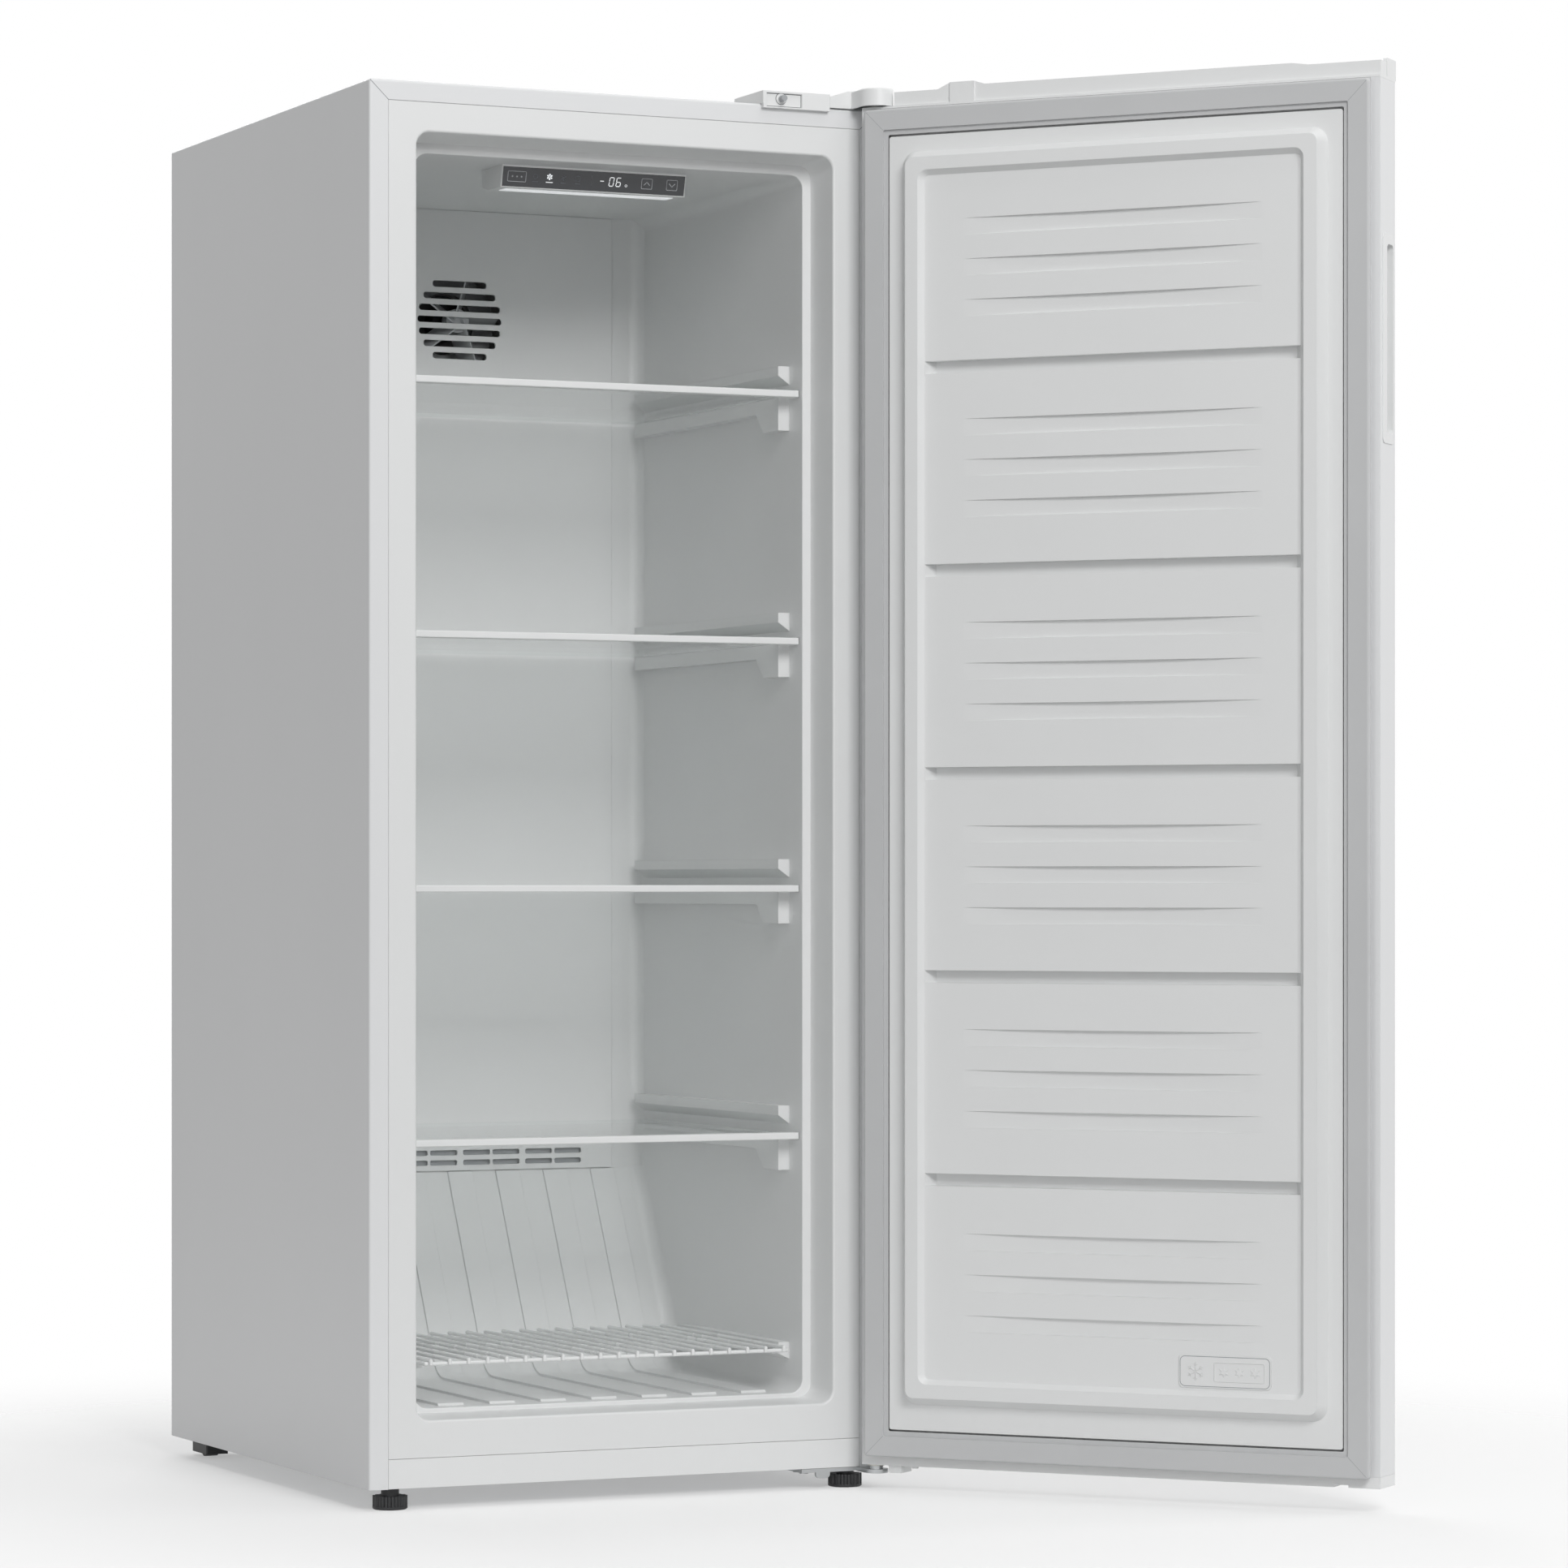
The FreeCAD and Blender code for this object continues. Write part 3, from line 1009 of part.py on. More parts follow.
# --- top hinge ----------------------------------------------------------------------------------
plate_top = cab_top + s.bracket_gauge
bracket_z = (cab_top, plate_top)
pin = (hinge_x, hinge_y)
arm_x = (hinge_x - s.arm_radius, hinge_x + s.arm_radius)
node("top_hinge_bracket", cut("upper_hinge", fuse("upper_hinge_plate", [
    box("upper_plate", (width - s.bracket_length, arm_x[1]), (s.bracket_front, s.bracket_back), bracket_z),
    box("upper_arm", arm_x, (hinge_y, s.bracket_front + 1), bracket_z),
    rod("upper_nose", "z", pin, s.arm_radius, bracket_z),
    rod("upper_pin", "z", pin, s.pin_radius, (cab_top - s.pin_length, plate_top)),
]), screw_holes("upper_hole", top_screw_spots, bracket_hole, past(bracket_z, 1))))
screws = []
for i, spot in enumerate(top_screw_spots):
    screws += [rod(f"upper_shank{i}", "z", spot, s.screw_radius, (screw_end, plate_top + 0.5)),
               rod(f"upper_head{i}", "z", spot, s.head_radius, (plate_top, plate_top + s.head_height))]
node("top_hinge_screws", fuse("upper_screws", screws))

cover_left = width - s.cover_left
cover_mid = width - s.cover_step
cover_right = width - s.cover_right
cover_top = cab_top + s.cover_rise
nose_top = cab_top + s.nose_rise
wall = s.cover_wall
cover_front = -s.cover_front
recess_front = cover_front + s.switch_recess
switch_z = (cab_top - s.switch_low, cab_top + s.switch_high)
switch_x = (cover_left + s.switch_side, cover_left + s.switch_side + s.switch_width)
plunger = (cover_left + s.plunger_side, cab_top + s.plunger_level)
hollow_low = cab_top - 0.1
ramp = [(cover_mid, cab_top), (cover_mid, cover_top - wall), (cover_mid + s.nose_ramp, nose_top),
        (cover_right, nose_top), (cover_right, cab_top)]


def nose(name, radius, up, right, back):
    """The rounded nose round the hinge pin, run back into the cover."""
    whole = fuse(name + "_whole", [
        rod(name + "_round", "z", pin, radius, up),
        box(name + "_run", (hinge_x - radius, hinge_x + radius), (hinge_y, back + 3), up),
    ])
    reach = (hinge_y - radius - SPARE, back)
    return common(name, whole, box(name + "_limit", (hinge_x - radius - SPARE, right), reach, past(up)))


nose_body = nose("cover_nose", s.nose_radius, (cab_top, nose_top), cover_right, dim(-1))
doc.recompute()
nose_soft = doc.addObject("Part::Fillet", "cover_nose_soft")
nose_soft.Base = nose_body
nose_soft.Edges = [
    (int(name[4:]), float(s.nose_soft), float(s.nose_soft))
    for name in edges_where(nose_body.Shape, lambda edge, middle: near(middle.z, nose_top) and middle.y < -2)
]
cover_outer = fuse("cover_outer", [
    slab("cover_block", "z", (cover_left, cover_mid), (cover_front, s.cover_rear), dim(1.2), (cab_top, cover_top)),
    box("cover_lip", past((cover_left, cover_mid), -0.5), (cover_front, dim(-0.2)),
        (cab_top - s.cover_hang, cab_top + 1)),
    prism("cover_ramp", "y", ramp, (-s.nose_front, s.cover_rear)),
    nose_soft,
])
space_back = s.cover_rear - wall
cover_hollow = [
    box("cover_space_left", (cover_left + wall, cover_mid - wall), (recess_front + wall, space_back),
        (hollow_low, cover_top - wall)),
    box("cover_space_right", (cover_mid - wall - 1, cover_right - wall), (dim(0), space_back),
        (hollow_low, cover_top - wall * 2)),
    nose("nose_space", s.nose_radius - wall, (hollow_low, nose_top - wall - 3), cover_right - wall, dim(1)),
]
plunger_guide = rod("plunger_guide", "y", plunger, s.plunger_radius + s.guide_wall,
                    (recess_front, recess_front + s.guide_length))
node("hinge_cover", cut("cover_finished", fuse("cover_guided", [
    cut("cover_hollowed", cover_outer, cover_hollow), plunger_guide]), [
    rod("plunger_bore", "y", plunger, s.plunger_radius + s.bore_play, past((cover_front, s.plunger_tail), 14)),
    box("switch_recess_space", switch_x, (cover_front - 1, recess_front), switch_z),
]))
node("switch_plunger", fuse("plunger_body", [
    rod("plunger_rod", "y", plunger, s.plunger_radius, (-s.plunger_tip, s.plunger_tail)),
    rod("plunger_head", "y", plunger, s.plunger_radius + s.plunger_collar,
        (s.plunger_head, s.plunger_head + s.plunger_flange)),
]))

# --- bottom hinge -------------------------------------------------------------------------------
low_plate = (-s.bracket_gauge, floor_level)
tab_x = (width - s.tab_side - s.tab_width, width - s.tab_side)
node("bottom_hinge_bracket", cut("lower_hinge", fuse("lower_hinge_plate", [
    box("lower_plate", (width - s.lower_far, width - s.lower_near), (s.lower_front, s.lower_back), low_plate),
    box("lower_arm", (hinge_x - s.lower_arm_radius, hinge_x + s.lower_arm_side), (hinge_y, s.lower_front + 1),
        low_plate),
    rod("lower_nose", "z", pin, s.lower_arm_radius, low_plate),
    rod("lower_shoulder", "z", pin, s.shoulder_radius, (floor_level - 1, s.shoulder_rise)),
    rod("lower_pin", "z", pin, s.pin_radius, (floor_level - 1, s.lower_pin)),
    slab("lower_tab", "y", tab_x, (-s.tab_drop, dim(-1)), dim(4), (s.lower_front, s.lower_front + s.tab_gauge)),
]), screw_holes("lower_hole", low_screw_spots, bracket_hole, past(low_plate, 1)) + [
    rod("lower_foot_hole", "z", foot_spots[1], stud_hole, past(low_plate, 1))]))
screws = []
for i, spot in enumerate(low_screw_spots):
    screws += [rod(f"lower_shank{i}", "z", spot, s.screw_radius, (low_plate[0] - 0.5, dim(12))),
               rod(f"lower_head{i}", "z", spot, s.lower_head, (low_plate[0] - s.head_height, low_plate[0]))]
node("bottom_hinge_screws", fuse("lower_screws", screws))

# --- feet and rear rollers ----------------------------------------------------------------------
GRIPS = 16
for side, (label, seat) in enumerate((("left_foot", -s.seat_gap), ("right_foot", low_plate[0] - s.seat_gap))):
    spot = foot_spots[side]
    wheel = (-s.floor_drop, -s.floor_drop + s.foot_height)
    ring = s.foot_radius + s.grip_ring
    grips = []
    for i in range(GRIPS):
        turn = dim(360 / GRIPS * i)
        grips.append(rod(f"{label}_grip{i}", "z", (spot[0] + ring * trig("cos", turn),
                                                   spot[1] + ring * trig("sin", turn)),
                         s.grip_radius, (wheel[0] + 3, wheel[1] + 1)))
    node(label, cut(label + "_body", fuse(label + "_blank", [
        rod(label + "_wheel", "z", spot, s.foot_radius, (wheel[0] + 1, wheel[1])),
        cone(label + "_pad", spot, (s.foot_radius - 1.5, s.foot_radius), (wheel[0], wheel[0] + 1)),
        rod(label + "_neck", "z", spot, s.neck_radius, (wheel[1] - 1, seat)),
        rod(label + "_stud", "z", spot, s.stud_radius, (wheel[1] - 1, s.stud_length)),
    ]), grips))

roller = (cab_back - s.roller_rear, -s.floor_drop + s.roller_radius)
case_y = (roller[0] - s.roller_case, roller[0] + s.roller_case)
half = s.roller_width / 2
blocks = []
for side, middle_x in enumerate((s.roller_side, width - s.roller_side)):
    skirt = (middle_x + 10, middle_x + 10 + s.skirt_length) if side == 0 else (
        middle_x - 10 - s.skirt_length, middle_x - 10)
    cheek = half + s.roller_play + s.cheek_gauge
    blocks.append(cut(f"roller_block{side}", fuse(f"roller_case{side}", [
        slab(f"roller_shell{side}", "z", (middle_x - cheek, middle_x + cheek), case_y, dim(2),
             (-s.roller_cover, floor_level)),
        box(f"roller_skirt{side}", skirt, (case_y[1] - 10, case_y[1] - 2), (-s.skirt_drop, floor_level)),
        box(f"roller_step{side}", skirt, (case_y[0], case_y[0] + 10), (-s.step_drop, floor_level)),
    ]), [box(f"roller_space{side}", (middle_x - half - s.roller_play, middle_x + half + s.roller_play),
             (roller[0] - s.roller_bay, roller[0] + s.roller_bay), (dim(-30), dim(-1.2)))]))
    blocks.append(rod(f"roller_pin{side}", "x", roller, s.roller_pin, (middle_x - half - 3, middle_x + half + 3)))
    label = ("left_roller", "right_roller")[side]
    wheel_x = (middle_x - half, middle_x + half)
    node(label, cut(label + "_wheel", rod(label + "_disc", "x", roller, s.roller_radius, wheel_x), [
        rod(label + "_bore", "x", roller, s.roller_pin + s.roller_gap, past(wheel_x, 1))]))
node("rear_brackets", fuse("rear_blocks", blocks))

# --- door, laid out closed ----------------------------------------------------------------------
back_y = -s.door_gap
front_y = back_y - s.door_depth
door_top = cab_top - s.door_under
panel_z = (s.cap_lower, door_top)
skin = s.wrap_gauge


def door_shell(name, amount, back, up):
    """The door's outline less a thickness: its front edges are round and its hinge side leans inwards."""
    across = inset(dim(amount))
    front = front_y + amount
    body = prism(name, "z", [(across[0], front), (across[1] - s.door_bevel, front),
                             (across[1], back_y - s.bevel_back), (across[1], back), (across[0], back)], up)
    return round_body(body, s.door_round - amount, lambda edge, middle: (
        runs_along(edge, "z") and near(middle.y, front)))


grip_high = cab_top - s.grip_under
grip_up = (grip_high - s.grip_length, grip_high)
grip_y = (-s.grip_back, -s.grip_front)
grip_body = slab("grip_body", "x", grown(grip_y, -s.grip_step), grown(grip_up, -s.grip_step), s.grip_round - 1,
                 (dim(-0.5), s.slot_depth + s.grip_wall))
open_up = (floor_level, door_top + 20)
skin_inner = door_shell("skin_inner", skin, back_y - skin, open_up)
node("door_panel", cut("skin", door_shell("skin_outer", 0.0, back_y, panel_z), [
    skin_inner,
    box("skin_opening", inset(s.panel_return), past((back_y, back_y), 3), open_up),
    grip_body,
]), True)

# liner of the door: flange, plateau, ridge and ribbed field
pan = s.pan_gauge
flange_back = back_y - pan
plate_y = -s.pan_face
ridge_y = plate_y + s.ridge_rise
field_y = ridge_y - s.field_depth
field_back = field_y - s.field_gauge
field_up = (s.field_bottom, cab_top - s.field_under)


def layers(name, amount, start):
    """The raised part of the door liner, shrunk inwards by an amount, from a given depth."""
    pan_up = grown((s.pan_bottom, cab_top - s.pan_under), -dim(amount))
    ridge_up = grown((s.ridge_bottom, cab_top - s.ridge_under), -dim(amount))
    plateau = slab(name + "_plateau", "y", inset(s.pan_inset + amount), pan_up, s.pan_round - amount,
                   (start, plate_y - amount))
    ridge = slab(name + "_ridge", "y", inset(s.ridge_inset + amount), ridge_up, s.ridge_round - amount,
                 (plate_y - amount - 0.5, ridge_y - amount), s.ridge_draft)
    return [plateau, ridge]


def dish(name, amount, floor_y):
    """The dished field between the ridges, down to a depth and shrunk by an amount on its sides."""
    slope = trig("tan", s.field_draft)
    reach = amount + (ridge_y - floor_y) * slope
    return slab(name, "y", inset(s.field_inset + reach), grown(field_up, -reach), s.field_round,
                (floor_y, ridge_y + 1), -s.field_draft)


GROOVES = 5
field_x = inset(s.field_inset + s.field_depth * trig("tan", s.field_draft))
groove_y = (field_y - s.groove_depth, field_y + 0.5)
groove_pitch = (field_up[1] - field_up[0] + s.groove_trim) / (GROOVES + 1)
groove_mid = (field_up[0] + field_up[1]) / 2 + s.groove_shift
groove_z = [groove_mid + groove_pitch * (i - (GROOVES - 1) / 2) for i in range(GROOVES)]
groove_wall = s.groove_wall
groove_floor = grown(field_x, -s.groove_slant)
grooves = []
pockets = []
for i, middle in enumerate(groove_z):
    groove_up = (middle - s.groove_height / 2, middle + s.groove_height / 2)
    grooves.append(prism(f"groove{i}", "z", [
        (field_x[0] + 0.2, groove_y[1]), (groove_floor[0], groove_y[0]), (groove_floor[1], groove_y[0]),
        (field_x[1] - 0.2, groove_y[1]),
    ], groove_up))
    pockets.append(prism(f"groove_back{i}", "z", [
        (field_x[0] - 2, field_y - 3), (groove_floor[0] - 2, groove_y[0] - groove_wall),
        (groove_floor[1] + 2, groove_y[0] - groove_wall), (field_x[1] + 2, field_y - 3),
    ], grown(groove_up, groove_wall)))
scoop_radius = (s.scoop_length * s.scoop_length / 4 + s.scoop_depth * s.scoop_depth) / (s.scoop_depth * 2)
scoop = (width / 2 - s.scoop_shift, field_y - s.scoop_depth + scoop_radius)
marks = [field_up[0], *groove_z, field_up[1]]
for i in range(GROOVES + 1):
    for k in (-1, 0, 1):
        at = (marks[i] + marks[i + 1]) / 2 + s.scoop_pitch * k
        grooves.append(rod(f"scoop{i}{k + 1}", "z", scoop, scoop_radius,
                           (at - s.scoop_height / 2, at + s.scoop_height / 2)))
badge = slab("badge", "y", (s.badge_side, s.badge_side + s.badge_width),
             (s.badge_level - s.badge_height / 2, s.badge_level + s.badge_height / 2), s.badge_corner,
             (field_y - 0.5, field_y + s.badge_rise))
scoop_limit = box("scoop_limit", grown(field_x, 0.2), (groove_y[0] - 8, field_y + 0.6), past(field_up, 30))
carving = common("carving", fuse("carvings", grooves), scoop_limit)
flange_x = inset(s.panel_return + 0.2)
flange_slab = slab("pan_flange", "y", flange_x, past(panel_z, -0.2), dim(1), (flange_back, back_y))
skin_side = fuse("pan_outside", [flange_slab] + layers("pan_out", 0, flange_back))
foam_side = cut("pan_inside", fuse("pan_inside_block", layers("pan_in", pan, flange_back - 1)), [
    dish("pan_in_dish", -pan, field_back)] + pockets)
node("door_liner", fuse("door_pan", [cut("door_pan_shell", skin_side, [
    foam_side, dish("pan_out_dish", dim(0), field_y), carving]), badge]), True)

low_bush = (dim(-5), s.low_bush_top)
bush_body = rod("upper_bush_space", "z", pin, s.bush_radius, past((cab_top, cab_top), s.bush_length))
low_bush_body = rod("lower_bush_space", "z", pin, s.bush_radius, low_bush)
door_block = common("door_block", skin_inner, fuse("door_block_limit", [
    box("door_block_main", whole_x, (front_y - SPARE, flange_back), panel_z),
    box("door_block_left", (whole_x[0], flange_x[0]), (flange_back - 1, back_y), panel_z),
    box("door_block_right", (flange_x[1], whole_x[1]), (flange_back - 1, back_y), panel_z),
]))
node("door_foam", cut("door_fill", fuse("door_fill_block", [door_block, foam_side]), [
    grip_body, bush_body, low_bush_body]), True)

# gasket: foot, neck, soft bulb and inner lip, each a frame
seal_up = (s.seal_bottom, cab_top - s.seal_under)


def frame(name, near_edge, far_edge, span, corner):
    """The outer block and the opening of a picture frame between two insets from the seal's outer edge."""
    outer = slab(name + "_out", "y", inset(s.seal_inset + near_edge), grown(seal_up, -dim(near_edge)), corner, span)
    inner = slab(name + "_in", "y", inset(s.seal_inset + far_edge), grown(seal_up, -dim(far_edge)),
                 dim(2), past(span, 1))
    return outer, inner


bulb_y = (-s.seal_face - s.seal_bulb, -s.seal_face)
lip_y = (bulb_y[1] - s.lip_level - s.lip_gauge, bulb_y[1] - s.lip_level)
bulb_out, bulb_in = frame("bulb", dim(0), s.seal_width, bulb_y, s.seal_corner)
round_body(bulb_out, s.seal_round, lambda edge, middle: near(middle.y, bulb_y[1]))
root_out, root_in = frame("root", s.seal_foot, s.seal_width - s.foot_short, (back_y, back_y + s.foot_rise), dim(3))
neck_out, neck_in = frame("neck", s.seal_neck, s.seal_width - s.seal_neck,
                          (back_y + s.foot_rise - 0.3, bulb_y[0] + 0.5), dim(2))
lip_out, lip_in = frame("lip", s.seal_width - 1, s.seal_width + s.lip_width, lip_y, dim(2))
node("door_gasket", fuse("gasket", [
    cut("gasket_bulb", bulb_out, [bulb_in]), cut("gasket_root", root_out, [root_in]),
    cut("gasket_neck", neck_out, [neck_in]), cut("gasket_lip", lip_out, [lip_in]),
]), True)

# caps closing the door's ends
door_y = (front_y, back_y)


def from_hinge(amount):
    """X of a spot measured from the door's hinge side."""
    return width - amount


top = door_top
left_top = top + s.cap_end + s.tail_rise
profile = [
    (width, top), (width, top + s.cap_floor), (from_hinge(s.cap_corner), top + s.cap_floor),
    (from_hinge(s.cap_corner), top + s.cap_end), (from_hinge(s.cap_ramp), top + s.cap_end),
    (from_hinge(s.striker_start), top + s.striker_rise), (from_hinge(s.striker_end), top + s.striker_rise),
    (from_hinge(s.cap_step), top + s.cap_upper), (s.cap_tail, top + s.cap_upper),
    (s.cap_tail - s.tail_slope, left_top), (dim(0), left_top), (dim(0), top),
]
cap_over = top + s.striker_rise * 2
cap_outline = common("top_cap_block", door_shell("top_cap_plan", 0.0, back_y, (top, cap_over)),
                     prism("top_cap_profile", "y", profile, past(door_y, 2)))
cap_back = (back_y - s.cap_set, back_y + SPARE)
slit_y = (dim(-1) * s.end_split, s.slit_width - s.end_split)
node("door_top_cap", cut("top_cap", fuse("top_cap_whole", [
    cap_outline, slab("end_rib", "x", (front_y, slit_y[0]), (top + 1, top + s.cap_end + s.end_rise), dim(1.5),
                      (dim(0), s.end_rib))]), [
    box("top_cap_space", (dim(SPARE), from_hinge(s.cap_corner + 2)),
        (front_y + s.cap_wall, cap_back[0] - s.cap_wall), (top - 1, top + s.cap_end - s.cap_floor)),
    box("top_cap_slit", (dim(-1), s.slit_depth), slit_y, (top + s.slit_low, cap_over)),
    box("cap_back_left", (whole_x[0], from_hinge(s.striker_end)), cap_back, (top + s.cap_lip, cap_over)),
    box("cap_back_right", (from_hinge(s.striker_start), whole_x[1]), cap_back, (top + s.cap_lip, cap_over)),
    bush_body,
]), True)
base = s.door_bottom
low_cap = door_shell("low_cap_plan", 0.0, back_y, (base, s.cap_lower))
node("door_bottom_cap", cut("low_cap", low_cap, [
    box("low_cap_space", (s.cap_wall, from_hinge(s.low_space_side)), grown(door_y, -s.cap_wall),
        (base + s.low_floor, s.cap_lower + 2)),
    box("low_cap_notch", (s.notch_side, s.notch_side + s.notch_width), past(door_y, 1),
        (base - 2, base + s.notch_height)),
    low_bush_body,
]), True)
pin_bore = s.pin_radius + s.pin_gap
bush_seat = top + s.cap_floor
node("top_bushing", cut("upper_bush", fuse("upper_bush_body", [
    rod("upper_bush_run", "z", pin, s.bush_radius, (cab_top - s.bush_length, bush_seat)),
    rod("upper_bush_flange", "z", pin, s.bush_flange, (bush_seat, bush_seat + s.bush_lip)),
]), [rod("upper_bush_bore", "z", pin, pin_bore, (cab_top - s.pin_length - 1, cab_top + SPARE))]), True)
node("bottom_bushing", cut("lower_bush", fuse("lower_bush_body", [
    rod("lower_bush_run", "z", pin, s.bush_radius, (base - 1, low_bush[1])),
    rod("lower_bush_flange", "z", pin, s.bush_flange, (base - s.low_bush_lip, base)),
]), [rod("lower_bush_bore", "z", pin, pin_bore, (low_bush[0], s.lower_pin + 1))]), True)

slot_up = grown(grip_up, -s.slot_end)
node("grip_insert", cut("grip", fuse("grip_block", [
    slab("grip_face", "x", grip_y, grip_up, s.grip_round, (-s.grip_flange, dim(0))),
    grip_body,
]), [slab("grip_slot", "x", (-s.slot_outer, -s.slot_inner), slot_up, s.slot_corner, (dim(-3), s.slot_depth))]), True)
stop_x = (from_hinge(s.stop_far), from_hinge(s.stop_near))
node("door_stop", fuse("stop", [
    box("stop_block", stop_x, (-s.stop_end, -s.stop_start), (base - s.stop_drop, base)),
    box("stop_plate", (stop_x[0] - s.stop_plate, stop_x[1]), grown((-s.stop_end, -s.stop_start), dim(-4)),
        (base - s.stop_gauge, base)),
    rod("stop_screw", "z", (stop_x[0] - 10, (-s.stop_start - s.stop_end) / 2), s.stop_screw,
        (base - s.stop_screw, base)),
]), True)

# --- set the whole freezer down and write the pieces out ----------------------------------------
doc.recompute()
overall = FreeCAD.BoundBox()
for piece in NODES:
    overall.add(piece.Shape.BoundBox)
row = list(SIZES).index("centre_x") + 1
sheet.set(f"B{row}", repr(round((overall.XMin + overall.XMax) / 2, 3)))
sheet.set(f"B{row + 1}", repr(round((overall.YMin + overall.YMax) / 2, 3)))
doc.recompute()

faults = [thing.Name for thing in doc.Objects if "Invalid" in thing.State or "Error" in thing.State]
for piece in NODES:
    if piece.Shape.isNull() or not piece.Shape.isValid() or not piece.Shape.Solids:
        faults.append(piece.Label)
if faults:
    raise RuntimeError("These pieces failed: " + ", ".join(faults))

os.makedirs("parts", exist_ok=True)
for piece in NODES:
    piece.Shape.exportStep(f"parts/{piece.Label}.step")
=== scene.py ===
"""Looks of an upright freezer that stands open: finishes, printed marks, painted shade in seams and gaps, light and
camera.

Lengths are written in millimetres in the cabinet's own directions, X to the right, Y to the back
and Z up from the cabinet's lower edge, and a Place turns them into the row's metres. Each kind of
Assembly stands for one sub-assembly of the freezer: it holds the sizes it needs, gives its solids
their finishes and adds the small pieces that the solids don't carry.
"""

import logging
import math
from collections.abc import Callable, Sequence
from dataclasses import dataclass
from enum import Enum
from typing import ClassVar

import bmesh
import bpy
from mathutils import Matrix, Vector

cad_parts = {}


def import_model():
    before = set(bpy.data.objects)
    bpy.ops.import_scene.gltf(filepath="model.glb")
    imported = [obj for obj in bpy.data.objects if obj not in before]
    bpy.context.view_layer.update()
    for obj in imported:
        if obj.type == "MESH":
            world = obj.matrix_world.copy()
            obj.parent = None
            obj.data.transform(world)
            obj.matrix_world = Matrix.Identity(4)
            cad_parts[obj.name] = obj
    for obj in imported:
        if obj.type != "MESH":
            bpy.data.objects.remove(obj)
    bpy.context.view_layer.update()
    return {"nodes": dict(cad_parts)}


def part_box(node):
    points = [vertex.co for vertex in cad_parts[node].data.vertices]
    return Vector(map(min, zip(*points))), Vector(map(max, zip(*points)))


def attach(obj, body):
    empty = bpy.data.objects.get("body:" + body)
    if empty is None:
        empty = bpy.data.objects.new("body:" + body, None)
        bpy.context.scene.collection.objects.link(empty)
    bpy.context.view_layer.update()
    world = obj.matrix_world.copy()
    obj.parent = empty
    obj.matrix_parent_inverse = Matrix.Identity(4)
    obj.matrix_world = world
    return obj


Point = tuple[float, float, float]
Flat = tuple[float, float]
Colour = tuple[float, float, float, float]

LOG = logging.getLogger("freezer")
MILLIMETRE = 0.001  # in metres
METRE = 1000.0  # in millimetres
RIGHT: Point = (1, 0, 0)
LEFT: Point = (-1, 0, 0)
UP: Point = (0, 0, 1)
DOOR_HINGE: Flat = (547.8, -22.6)
DOOR_REST = 130.0  # degrees that the door stands open
SEAM_RELIEF: Flat = (-0.1, 0.06)  # back and face of a seam, from the surface that it lies in
GAP_RELIEF: Flat = (-0.1, 0.05)
WHITE: Colour = (1.0, 1.0, 1.0, 1.0)


# --- finishes --------------------------------------------------------------------------------------
class Surface(Enum):
    """How a surface is made; galvanised, drawn, glass, foam and lit ones get nodes of their own."""

    PAINT = "powder coat or enamel"
    MOULDED = "moulded or vacuum-formed plastic"
    POLISHED = "dipped or polished"
    SPANGLE = "hot-dip galvanised"
    DRAWN = "drawn, rolled or brushed metal"
    SOFT = "extruded soft vinyl"
    GLASS = "float glass"
    CELLS = "blown foam"
    LIT = "plastic with a lamp behind it"


@dataclass(frozen=True)
class Finish:
    """Colour and surface of one material.

    Args:
        name: Name of the material.
        colour: sRGB colour as six hex digits.
        surface: How it is made.
        rough: Roughness from 0 to 1.
        slot: The record's material slot; not used here.
        ior: Index of refraction; metals keep the default.
        metal: Metallic share from 0 to 1.
        coat: Weight of a clear coat.
        grain: Size of the finest relief, in millimetres.
        relief: Height of that relief, in millimetres.
        shade: How far the colour drifts, from 0 to 1.
        edge: Radius that the shading rounds sharp edges by, in millimetres.
        wipe: How far the roughness drifts either way.
    """

    name: str
    colour: str
    surface: Surface
    rough: float
    slot: str
    ior: float = 1.5
    metal: float = 0.0
    coat: float = 0.0
    grain: float = 1.2
    relief: float = 0.01
    shade: float = 0.01
    edge: float = 0.6
    wipe: float = 0.03


Finishes = dict[Finish, tuple[str, ...]]

# Steel sheet with a white polyester powder coat: soft broad highlights over a fine orange peel.
POWDER_COAT = Finish("white_powder_coat", "e8e9ea", Surface.PAINT, 0.36, "white_steel", coat=0.2,
                     grain=1.6, relief=0.008, shade=0.004, edge=0.9, wipe=0.01)
# High-impact polystyrene, vacuum formed over a polished mould: milky white with a low sheen.
FORMED_LINER = Finish("vacuum_formed_polystyrene", "e9eaea", Surface.MOULDED, 0.4, "liner", ior=1.59,
                      grain=0.9, relief=0.005, shade=0.008, edge=1.0)
# Injection-moulded ABS for caps, covers and trims: a shade whiter and tighter in its gloss.
MOULDED_ABS = Finish("white_moulded_abs", "eceded", Surface.MOULDED, 0.35, "trim", ior=1.53,
                     grain=0.7, relief=0.005, shade=0.006, edge=0.5)
# Hot-dip galvanised sheet: grey zinc with flat crystals of about 3 mm, drawn twice as coarse to show.
GALVANISED = Finish("galvanised_sheet", "bcbfc1", Surface.SPANGLE, 0.42, "grey_steel", metal=0.75,
                    grain=6.0, relief=0.004, shade=0.035)
# Pressed steel with bright zinc plate: a bluish grey metal with soft rolling lines.
ZINC_PLATE = Finish("zinc_plated_steel", "b4b6b7", Surface.DRAWN, 0.32, "hinge_steel", metal=1.0,
                    grain=0.5, relief=0.006, shade=0.07, edge=0.4)
